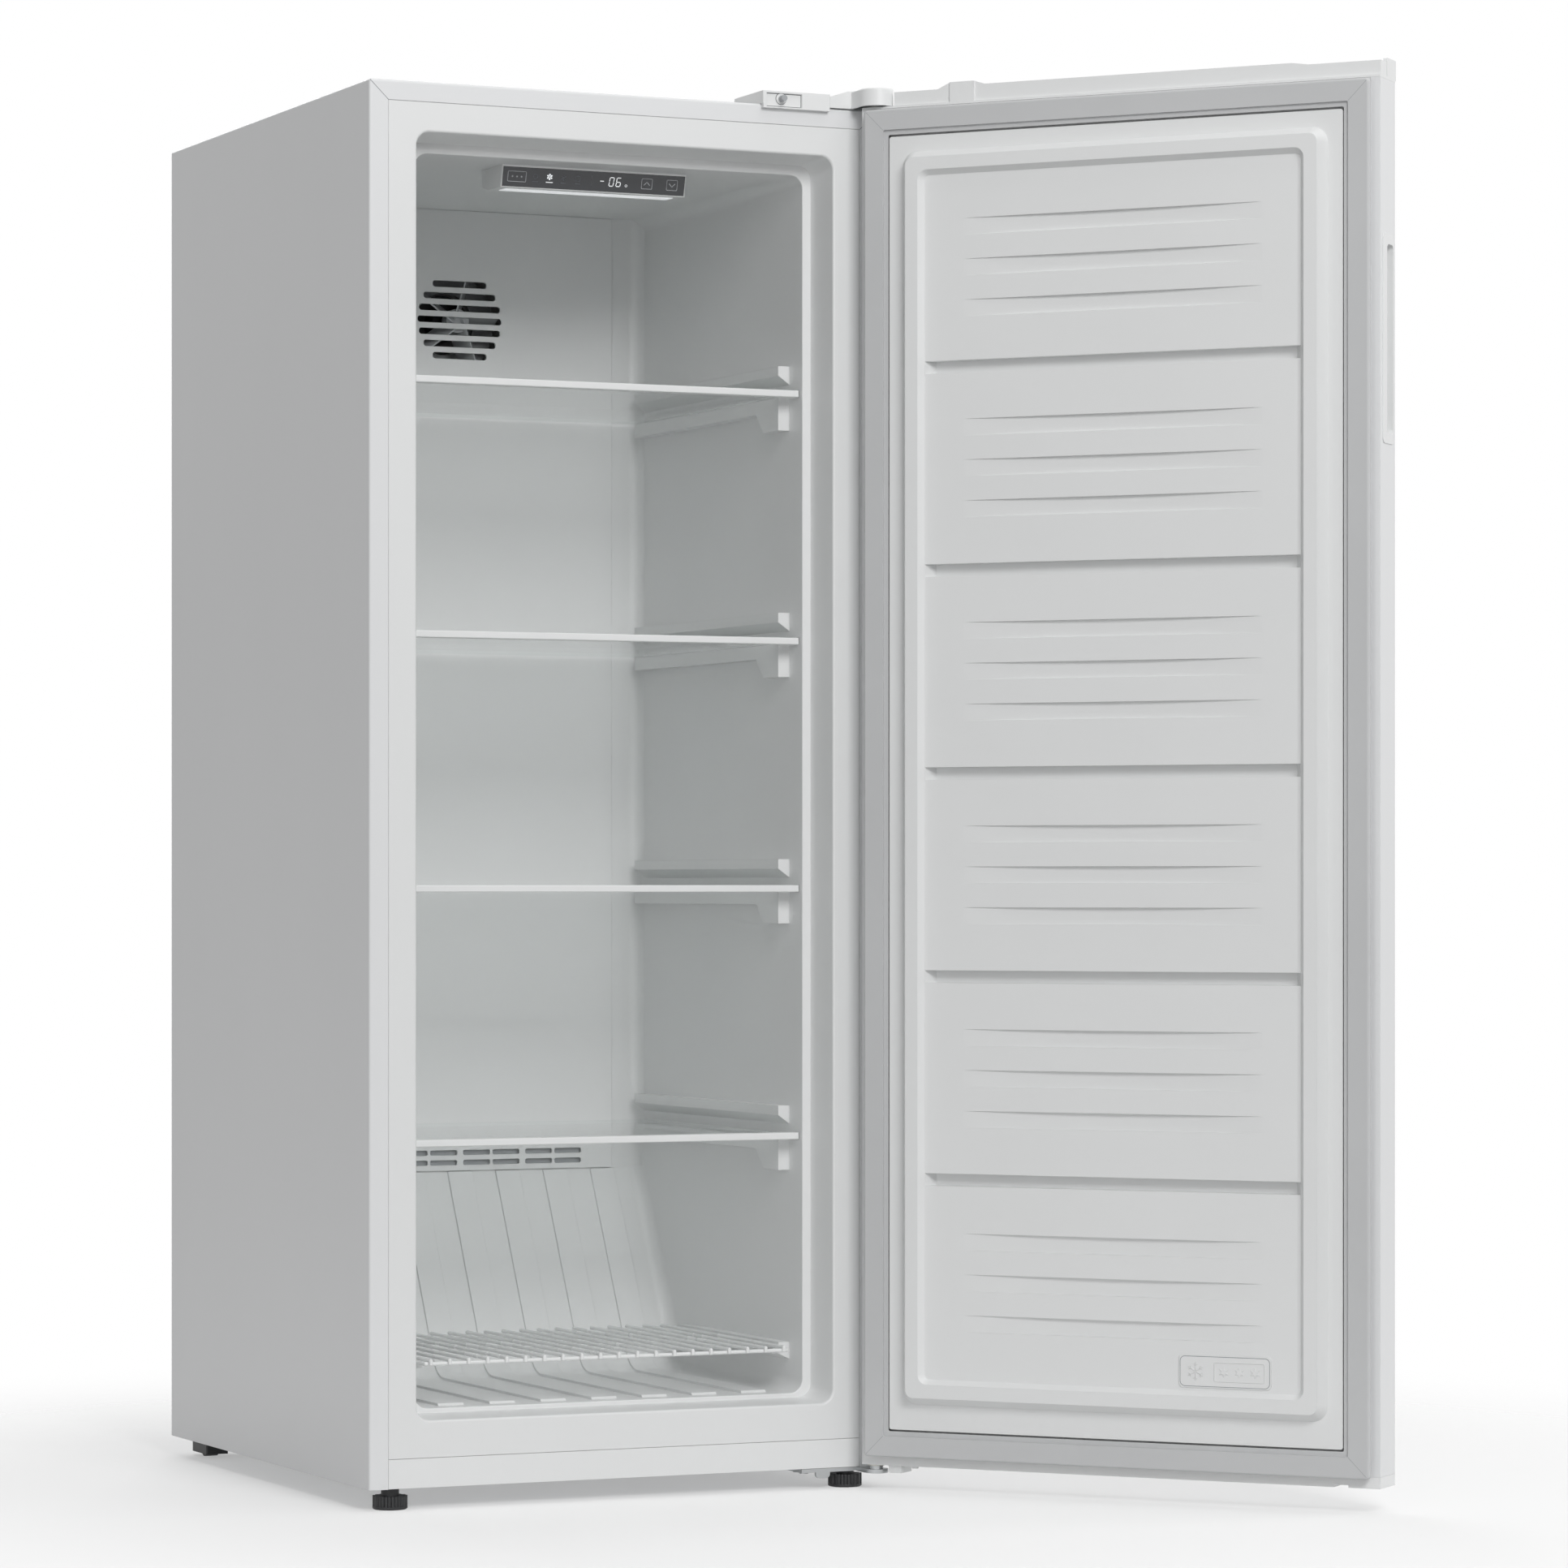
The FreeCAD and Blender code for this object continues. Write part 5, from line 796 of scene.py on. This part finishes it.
@dataclass
class ControlStrip(Assembly):
    """The strip under the ceiling with the display, the keys and the lamp.

    Its marks are laid out by X in the cabinet, and by Y from the middle line of the display.
    """

    front: float = 88.0
    ceiling: float = 1334.7
    height: float = 22.4
    lean: float = 5.5
    glass: Flat = (1.7, 21.4)
    ink: Flat = (0.0, 0.05)
    reading: tuple[tuple[str, float], ...] = (("0", 297.6), ("6", 305.4))
    figure_size: Flat = (4.6, 4.4)
    figure_slant: float = 0.12
    figure_gap: float = 0.35
    bold: float = 0.9
    minus: tuple[Flat, Flat] = ((287.2, 0.2), (291.4, 0.2))
    degree: tuple[Flat, Flat] = ((315.2, -4.3), (317.4, -2.2))
    degree_line: Flat = (0.8, 0.45)
    lit_icon: Flat = (231.0, 1.4)
    lit_crystal: Flat = (3.2, 1.1)
    lit_bar: Flat = (227.2, 234.8)
    bar_level: float = -4.2
    keys: tuple[Flat, ...] = ((185.0, 205.0), (333.6, 345.4), (361.8, 373.6))
    key_half: float = 5.2
    key_line: Flat = (0.8, 0.55)
    arrows: tuple[tuple[float, int], ...] = ((339.5, 1), (367.7, -1))
    arrow_reach: tuple[float, float, float] = (3.4, 1.6, 1.8)
    arrow_line: float = 0.8
    dots: tuple[float, ...] = (190.0, 195.0, 200.0)
    dot_radius: float = 0.9
    dot_sides: int = 16
    dim_icon: Flat = (246.6, 1.2)
    dim_crystal: Flat = (3.0, 0.5)
    dim_frames: tuple[tuple[Flat, Flat, float], ...] = (
        ((213.2, -1.2), (217.8, 3.4), 2.2),
        ((259.6, -1.2), (264.8, 3.6), 0.6),
    )
    dim_line: float = 0.5
    dim_bars: tuple[float, ...] = (215.5, 246.6, 262.2)
    dim_bar: Flat = (3.2, 0.6)
    divider: Flat = (277.5, 5.4)
    divider_line: float = 0.4

    FINISHES: ClassVar[Finishes] = {
        MOULDED_ABS: ("panel_housing", "temperature_sensor"),
        SMOKED_ACRYLIC: ("display_fascia",),
        OPAL_LENS: ("lamp_lens",),
        SOLDER_MASK: ("lamp_board",),
    }
    DIGITS: ClassVar[dict[str, str]] = {"0": "abcdef", "6": "acdefg"}
    SEGMENTS: ClassVar[dict[str, tuple[Flat, Flat]]] = {
        "a": ((0, 1), (1, 1)), "b": ((1, 1), (1, 0)), "c": ((1, 0), (1, -1)), "d": ((0, -1), (1, -1)),
        "e": ((0, 0), (0, -1)), "f": ((0, 1), (0, 0)), "g": ((0, 0), (1, 0)),
    }

    def at(self, x: float, y: float) -> Flat:
        """Turn a mark's X and Y into the drawing's, which counts Y from the strip's top."""
        return x, -(self.glass[0] + self.glass[1]) / 2 + y

    def figure(self, sculptor: Sculptor, name: str, left: float) -> None:
        """Draw a slanted figure from lamp segments.

        Args:
            sculptor: Takes the strips.
            name: One digit.
            left: X of its left edge.
        """
        wide, tall = self.figure_size
        for segment in self.DIGITS[name]:
            start, end = (Vector(self.at(left + wide * x + self.figure_slant * tall * y, tall * y))
                          for x, y in self.SEGMENTS[segment])
            along = (end - start).normalized() * self.figure_gap
            sculptor.line(tuple(start + along), tuple(end - along), self.bold, self.ink)

    def lit_marks(self, sculptor: Sculptor) -> None:
        """Draw the two figures, the minus, the degree ring and the lit snow crystal on its bar."""
        for name, left in self.reading:
            self.figure(sculptor, name, left)
        start, end = self.minus
        sculptor.line(self.at(*start), self.at(*end), self.bold, self.ink)
        low, high = self.degree
        sculptor.frame(self.at(*low), self.at(*high), *self.degree_line, self.ink)
        snowflake(sculptor, self.at(*self.lit_icon), *self.lit_crystal, self.ink)
        left, right = self.lit_bar
        sculptor.line(self.at(left, self.bar_level), self.at(right, self.bar_level), self.bold, self.ink)

    def plain_marks(self, sculptor: Sculptor) -> None:
        """Draw the outlines of the three keys, two arrows and three dots for choosing."""
        for left, right in self.keys:
            sculptor.frame(self.at(left, -self.key_half), self.at(right, self.key_half), *self.key_line, self.ink)
        across, below, above = self.arrow_reach
        for centre, way in self.arrows:
            for side in (-across, across):
                sculptor.line(self.at(centre + side, -below * way), self.at(centre, above * way), self.arrow_line,
                              self.ink)
        for spot in self.dots:
            sculptor.disc(self.at(spot, 0.0), self.dot_radius, self.ink, self.dot_sides)

    def unlit_marks(self, sculptor: Sculptor) -> None:
        """Draw the icons whose lamps are off, their bars and the line that divides them from the figures."""
        snowflake(sculptor, self.at(*self.dim_icon), *self.dim_crystal, self.ink)
        for low, high, radius in self.dim_frames:
            sculptor.frame(self.at(*low), self.at(*high), radius, self.dim_line, self.ink)
        half, width = self.dim_bar
        for spot in self.dim_bars:
            sculptor.line(self.at(spot - half, self.bar_level), self.at(spot + half, self.bar_level), width,
                          self.ink)
        x, reach = self.divider
        sculptor.line(self.at(x, -reach), self.at(x, reach), self.divider_line, self.ink)

    def add_details(self) -> None:
        """Print the marks."""
        rising = Vector((0, -self.lean, self.height)).normalized()
        face = self.bench.cabinet.facing((0, self.front, self.ceiling), RIGHT, tuple(rising))
        self.bench.add("marks_lit", "cabinet", LIT_PRINT, face, self.lit_marks)
        self.bench.add("marks_plain", "cabinet", PLAIN_PRINT, face, self.plain_marks)
        self.bench.add("marks_unlit", "cabinet", UNLIT_PRINT, face, self.unlit_marks)


@dataclass
class TopHinge(Assembly):
    """The upper hinge with its cover and the door switch."""

    recess: float = -4.0
    plate: tuple[Flat, Flat] = ((431.6, 1397.6), (470.4, 1410.4))
    plate_line: Flat = (0.6, 0.5)
    plunger: Flat = (448.0, 1405.5)
    collar: float = 5.6
    collar_relief: Flat = (-0.1, 0.9)
    collar_dome: float = 0.6
    collar_sides: int = 36
    collar_gap: float = 0.5
    seam_x: float = 503.2
    seam_face: float = -3.0
    seam_z: Flat = (1400.6, 1411.0)
    seam_width: float = 0.5

    FINISHES: ClassVar[Finishes] = {
        ZINC_PLATE: ("top_hinge_bracket", "top_hinge_screws"),
        MOULDED_ABS: ("hinge_cover",),
        GREY_ACETAL: ("switch_plunger",),
    }

    def plate_gap(self, sculptor: Sculptor) -> None:
        """Draw the painted shade in the gap round the switch's own plate."""
        sculptor.frame(*self.plate, *self.plate_line, GAP_RELIEF)

    def guide(self, sculptor: Sculptor) -> None:
        """Draw the collar that guides the switch's plunger."""
        sculptor.disc(self.plunger, self.collar, self.collar_relief, self.collar_sides, self.collar_dome)

    def guide_gap(self, sculptor: Sculptor) -> None:
        """Draw the painted shade in the gap that shows round the collar."""
        sculptor.disc(self.plunger, self.collar + self.collar_gap, GAP_RELIEF, self.collar_sides)

    def seam(self, sculptor: Sculptor) -> None:
        """Draw the painted shade in the joint between the cover's switch end and its nose."""
        low, high = self.seam_z
        sculptor.line((self.seam_x, low), (self.seam_x, high), self.seam_width, SEAM_RELIEF)

    def add_details(self) -> None:
        """Add the painted shade round the switch's plate, the collar with the painted shade round it, and the painted
        shade in the cover's seam.
        """
        switch_face = self.bench.cabinet.facing((0, self.recess, 0), RIGHT, UP)
        self.bench.add("switch_plate_gap_shade", "cabinet", GAP_SHADE, switch_face, self.plate_gap)
        self.bench.add("switch_collar", "cabinet", MOULDED_ABS, switch_face, self.guide)
        self.bench.add("switch_collar_gap_shade", "cabinet", GAP_SHADE, switch_face, self.guide_gap)
        cover_face = self.bench.cabinet.facing((0, self.seam_face, 0), RIGHT, UP)
        self.bench.add("cover_seam_shade", "cabinet", GAP_SHADE, cover_face, self.seam)


@dataclass
class Chassis(Assembly):
    """The base with its feet, rollers, toe panel, lower hinge and the cover over the machine bay."""

    width: float = 560.0
    bay_face: float = 602.5
    screw_columns: tuple[float, ...] = (22.0, 200.0, 360.0, 538.0)
    screw_levels: Flat = (18.0, 229.0)
    screw_head: Flat = (3.6, 1.9)

    FINISHES: ClassVar[Finishes] = {
        MOULDED_ABS: ("toe_kick",),
        GALVANISED: ("base_tray", "step_panel", "compressor_cover"),
        ZINC_PLATE: ("bottom_hinge_bracket", "bottom_hinge_screws"),
        BLACK_NYLON: ("rear_brackets", "left_foot", "right_foot", "left_roller", "right_roller", "mains_inlet"),
    }

    def add_details(self) -> None:
        """Add the pan-head screws along the cover of the machine bay."""
        bay = self.bench.cabinet.facing((self.width, self.bay_face, 0), LEFT, UP)
        spots = [(x, z) for x in self.screw_columns for z in self.screw_levels]
        self.bench.screws("bay_screws", bay, ScrewHeads(spots, *self.screw_head))


@dataclass
class CoolingCircuit(Assembly):
    """Compressor, tubes, drier, evaporator, heater, air mover and the drain."""

    FINISHES: ClassVar[Finishes] = {
        BLACK_ENAMEL: ("compressor",),
        BLACK_NYLON: ("compressor_grommets", "start_relay", "drain_pan", "fan_motor", "control_box"),
        GREY_BLADE: ("fan_blade",),
        DRAWN_COPPER: ("discharge_tube", "suction_tube", "filter_drier"),
        MILL_ALUMINIUM: ("evaporator",),
        HEATER_SHEATH: ("defrost_heater",),
        NATURAL_NYLON: ("drain_tube",),
    }


@dataclass
class Door(Assembly):
    """The door: steel skin, end caps, grip, formed liner and magnetic gasket.

    The drawings on its inner side run their X to the left, so it is negative all over the door.
    """

    width: float = 560.0
    seal_face: float = -0.6
    seal_inset: float = 7.5
    seal_width: float = 21.6
    seal_levels: Flat = (14.5, 1394.8)
    weld_start: float = 2.5
    weld_line: tuple[float, Flat] = (0.3, (-0.2, 0.03))
    field_face: float = 2.0
    badge_rise: float = 0.8
    badge: Flat = (108.0, 206.0)
    badge_level: float = 115.5
    badge_height: float = 33.0
    badge_edge: float = 0.2
    relief: Flat = (-0.2, 0.45)
    mark_line: float = 1.1
    crystal_x: float = -188.0
    crystal_reach: float = 9.0
    box_sides: Flat = (-168.0, -115.0)
    box_half: float = 9.5
    box_radius: float = 2.0
    stars: tuple[float, ...] = (-158.0, -141.5, -125.0)
    star_reach: float = 5.6
    star_waist: float = 0.48
    border_inset: float = 1.6
    border_radius: float = 5.0
    border_line: tuple[float, Flat] = (0.6, (-0.2, 0.05))

    FINISHES: ClassVar[Finishes] = {
        POWDER_COAT: ("door_panel",),
        FORMED_LINER: ("door_liner",),
        MOULDED_ABS: ("door_top_cap", "door_bottom_cap", "grip_insert", "door_stop"),
        SOFT_VINYL: ("door_gasket",),
        BLOWN_FOAM: ("door_foam",),
        NATURAL_NYLON: ("top_bushing", "bottom_bushing"),
    }

    def star(self, sculptor: Sculptor, centre: Flat) -> None:
        """Draw a six-pointed star in relief.

        Args:
            sculptor: Takes the plate.
            centre: X and Y of its middle.
        """
        radii = (self.star_reach, self.star_reach * self.star_waist)
        sculptor.plate([polar(radii[i % 2], math.radians(90 + 30 * i), centre) for i in range(12)], self.relief)

    def class_badge(self, sculptor: Sculptor) -> None:
        """Draw the frost class's mark in relief: a snow crystal beside three boxed stars."""
        level, half = self.badge_level, self.box_half
        snowflake(sculptor, (self.crystal_x, level), self.crystal_reach, self.mark_line, self.relief)
        left, right = self.box_sides
        sculptor.frame((left, level - half), (right, level + half), self.box_radius, self.mark_line, self.relief)
        for spot in self.stars:
            self.star(sculptor, (spot, level))

    def badge_outline_shade(self, sculptor: Sculptor) -> None:
        """Draw the fine line of painted shade that runs round the class mark's plate."""
        near, far = self.badge
        inset, level = self.border_inset, self.badge_level
        half = self.badge_height / 2 - inset
        sculptor.frame((inset - far, level - half), (-inset - near, level + half), self.border_radius,
                       *self.border_line)

    def gasket_weld_shade(self, sculptor: Sculptor) -> None:
        """Draw the painted shade in the welded mitres at the gasket's four corners."""
        inset, near, far = self.seal_inset, self.weld_start, self.seal_width
        low, high = self.seal_levels
        for x, turn in ((-inset, -1), (inset - self.width, 1)):
            for z, rise in ((low, 1), (high, -1)):
                sculptor.line((x + near * turn, z + near * rise), (x + far * turn, z + far * rise), *self.weld_line)

    def add_details(self) -> None:
        """Add the class mark, and the painted shade round its plate and in the gasket's welds."""
        badge_face = self.bench.door.facing((0, self.field_face + self.badge_rise, 0), LEFT, UP)
        self.bench.add("class_badge", "door", FORMED_LINER, badge_face, self.class_badge, self.badge_edge)
        self.bench.add("badge_outline_shade", "door", SEAM_SHADE, badge_face, self.badge_outline_shade)
        seal_face = self.bench.door.facing((0, self.seal_face, 0), LEFT, UP)
        self.bench.add("gasket_weld_shade", "door", SEAM_SHADE, seal_face, self.gasket_weld_shade)


# --- studio ----------------------------------------------------------------------------------------
@dataclass(frozen=True)
class Softbox:
    """One soft white light of the studio.

    Args:
        name: Its name.
        place: Where it stands, in metres.
        aim: Where it points, in metres.
        size: Its width and height, in metres.
        power: Its power in watts.
    """

    name: str
    place: Point
    aim: Point
    size: Flat
    power: float


@dataclass
class Studio:
    """The photograph's camera, placed in the cabinet's millimetres, and floor and lights in metres."""

    cabinet: Place
    camera_place: Point = (-1930.8, -5134.7, 599.4)
    camera_turn: float = 24.906
    lens: float = 126.757
    sensor: float = 36.0
    shift: float = 0.06496
    clip: Flat = (0.05, 100.0)
    soft_light: float = 0.26
    backdrop: float = 1.0
    floor_radius: float = 4.0
    floor_sides: int = 96
    floor_tone: str = "f8f8f8"
    floor_roughness: float = 0.8
    floor_alpha: float = 0.75
    floor_fade: Flat = (0.5, 1.6)
    floor_glow: float = 0.1
    lights: tuple[Softbox, ...] = (
        Softbox("key", (-0.4, -4.8, 3.3), (0.0, 0.0, 0.75), (2.0, 2.0), 132.0),
        Softbox("fill", (-3.6, -3.0, 0.9), (0.0, 0.0, 0.6), (3.0, 2.0), 15.0),
        Softbox("rim", (4.2, -1.2, 1.2), (0.5, -0.4, 0.8), (1.2, 2.4), 40.0),
        Softbox("top", (0.5, -1.1, 4.2), (0.2, 0.0, 0.7), (2.2, 2.2), 24.0),
        Softbox("back", (0.4, 3.8, 2.4), (0.0, 0.2, 0.7), (2.4, 2.4), 42.0),
    )

    def camera(self) -> None:
        """Set up the photograph's camera, which looks level."""
        data = bpy.data.cameras.new("camera")
        data.lens = self.lens
        data.sensor_width = self.sensor
        data.shift_y = self.shift
        data.clip_start, data.clip_end = self.clip
        camera = add_object("camera", data)
        camera.location = self.cabinet(self.camera_place)
        camera.rotation_euler = (math.radians(90), 0.0, -math.radians(self.camera_turn))
        bpy.context.scene.camera = camera

    def light(self, box: Softbox) -> None:
        """Add a soft light.

        Args:
            box: What it is.
        """
        data = bpy.data.lights.new(box.name, "AREA")
        data.shape = "RECTANGLE"
        data.size, data.size_y = box.size
        data.energy = box.power
        lamp = add_object(box.name, data)
        lamp.location = box.place
        lamp.rotation_euler = (Vector(box.aim) - Vector(box.place)).to_track_quat("-Z", "Y").to_euler()

    def world(self) -> None:
        """A white backdrop for the camera, metal and glass over a softer light for the object."""
        world = bpy.data.worlds.new("studio")
        bpy.context.scene.world = world
        world.use_nodes = True
        tree = world.node_tree
        tree.nodes.clear()
        path = add_node(tree, "ShaderNodeLightPath")
        mirror = add_node(tree, "ShaderNodeMath", {
            0: path.outputs["Is Glossy Ray"], 1: path.outputs["Is Transmission Ray"]}, operation="MAXIMUM")
        seen = add_node(tree, "ShaderNodeMath", {
            0: path.outputs["Is Camera Ray"], 1: mirror.outputs["Value"]}, operation="MAXIMUM")
        soft, white = (add_node(tree, "ShaderNodeBackground", {"Color": WHITE, "Strength": strength})
                       for strength in (self.soft_light, self.backdrop))
        mixed = add_node(tree, "ShaderNodeMixShader", {
            "Fac": seen.outputs["Value"], 1: soft.outputs["Background"], 2: white.outputs["Background"]})
        add_node(tree, "ShaderNodeOutputWorld", {"Surface": mixed.outputs["Shader"]})

    def floor_material(self) -> bpy.types.Material:
        """Build the floor's paint, which glows for the camera only and thins out with distance."""
        material = bpy.data.materials.new("pale_floor")
        material.use_nodes = True
        tree = material.node_tree
        path = add_node(tree, "ShaderNodeLightPath")
        glow = add_node(tree, "ShaderNodeMath", {0: path.outputs["Is Camera Ray"], 1: self.floor_glow},
                        operation="MULTIPLY")
        place = add_node(tree, "ShaderNodeTexCoord").outputs["Object"]
        reach = add_node(tree, "ShaderNodeVectorMath", {0: place}, operation="LENGTH")
        near, far = self.floor_fade
        fade = add_node(tree, "ShaderNodeMapRange", {
            "Value": reach.outputs["Value"], "From Min": near, "From Max": far, "To Min": self.floor_alpha,
            "To Max": 0.0}, interpolation_type="SMOOTHSTEP")
        feed(tree, tree.nodes["Principled BSDF"], {
            "Base Color": linear(self.floor_tone), "Roughness": self.floor_roughness, "Emission Color": WHITE,
            "Emission Strength": glow.outputs["Value"], "Alpha": fade.outputs["Result"]})
        return material

    def floor(self) -> None:
        """A pale floor that keeps the object's shadow and fades into the backdrop."""
        mesh = bmesh.new()
        bmesh.ops.create_circle(mesh, cap_ends=True, segments=self.floor_sides, radius=self.floor_radius)
        floor = add_mesh("floor", mesh, self.floor_material())

    def build(self) -> None:
        """Build the whole studio."""
        self.camera()
        self.world()
        self.floor()
        for box in self.lights:
            self.light(box)
        bpy.context.scene.view_settings.view_transform = "Standard"


def corners(box: tuple[Vector, Vector]) -> list[list[float]]:
    """Give a box as two lists of plain numbers.

    Args:
        box: Its lowest and highest corners.

    Returns:
        The corners' coordinates.
    """
    return [[round(value, 6) for value in corner] for corner in box]


def main() -> None:
    """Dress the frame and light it."""
    logging.basicConfig(level=logging.INFO, format="%(name)s: %(message)s")
    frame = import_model()
    cabinet = Place.of_cabinet()
    bench = Bench(PaintShop(), frame["nodes"], cabinet, cabinet.swung(DOOR_HINGE, DOOR_REST))
    for assembly in (Wrapper, Storage, ControlStrip, TopHinge, Chassis, CoolingCircuit, Door):
        LOG.info("building %s", assembly.__name__)
        assembly(bench).build()
    Studio(cabinet).build()


if __name__ == "__main__":
    main()
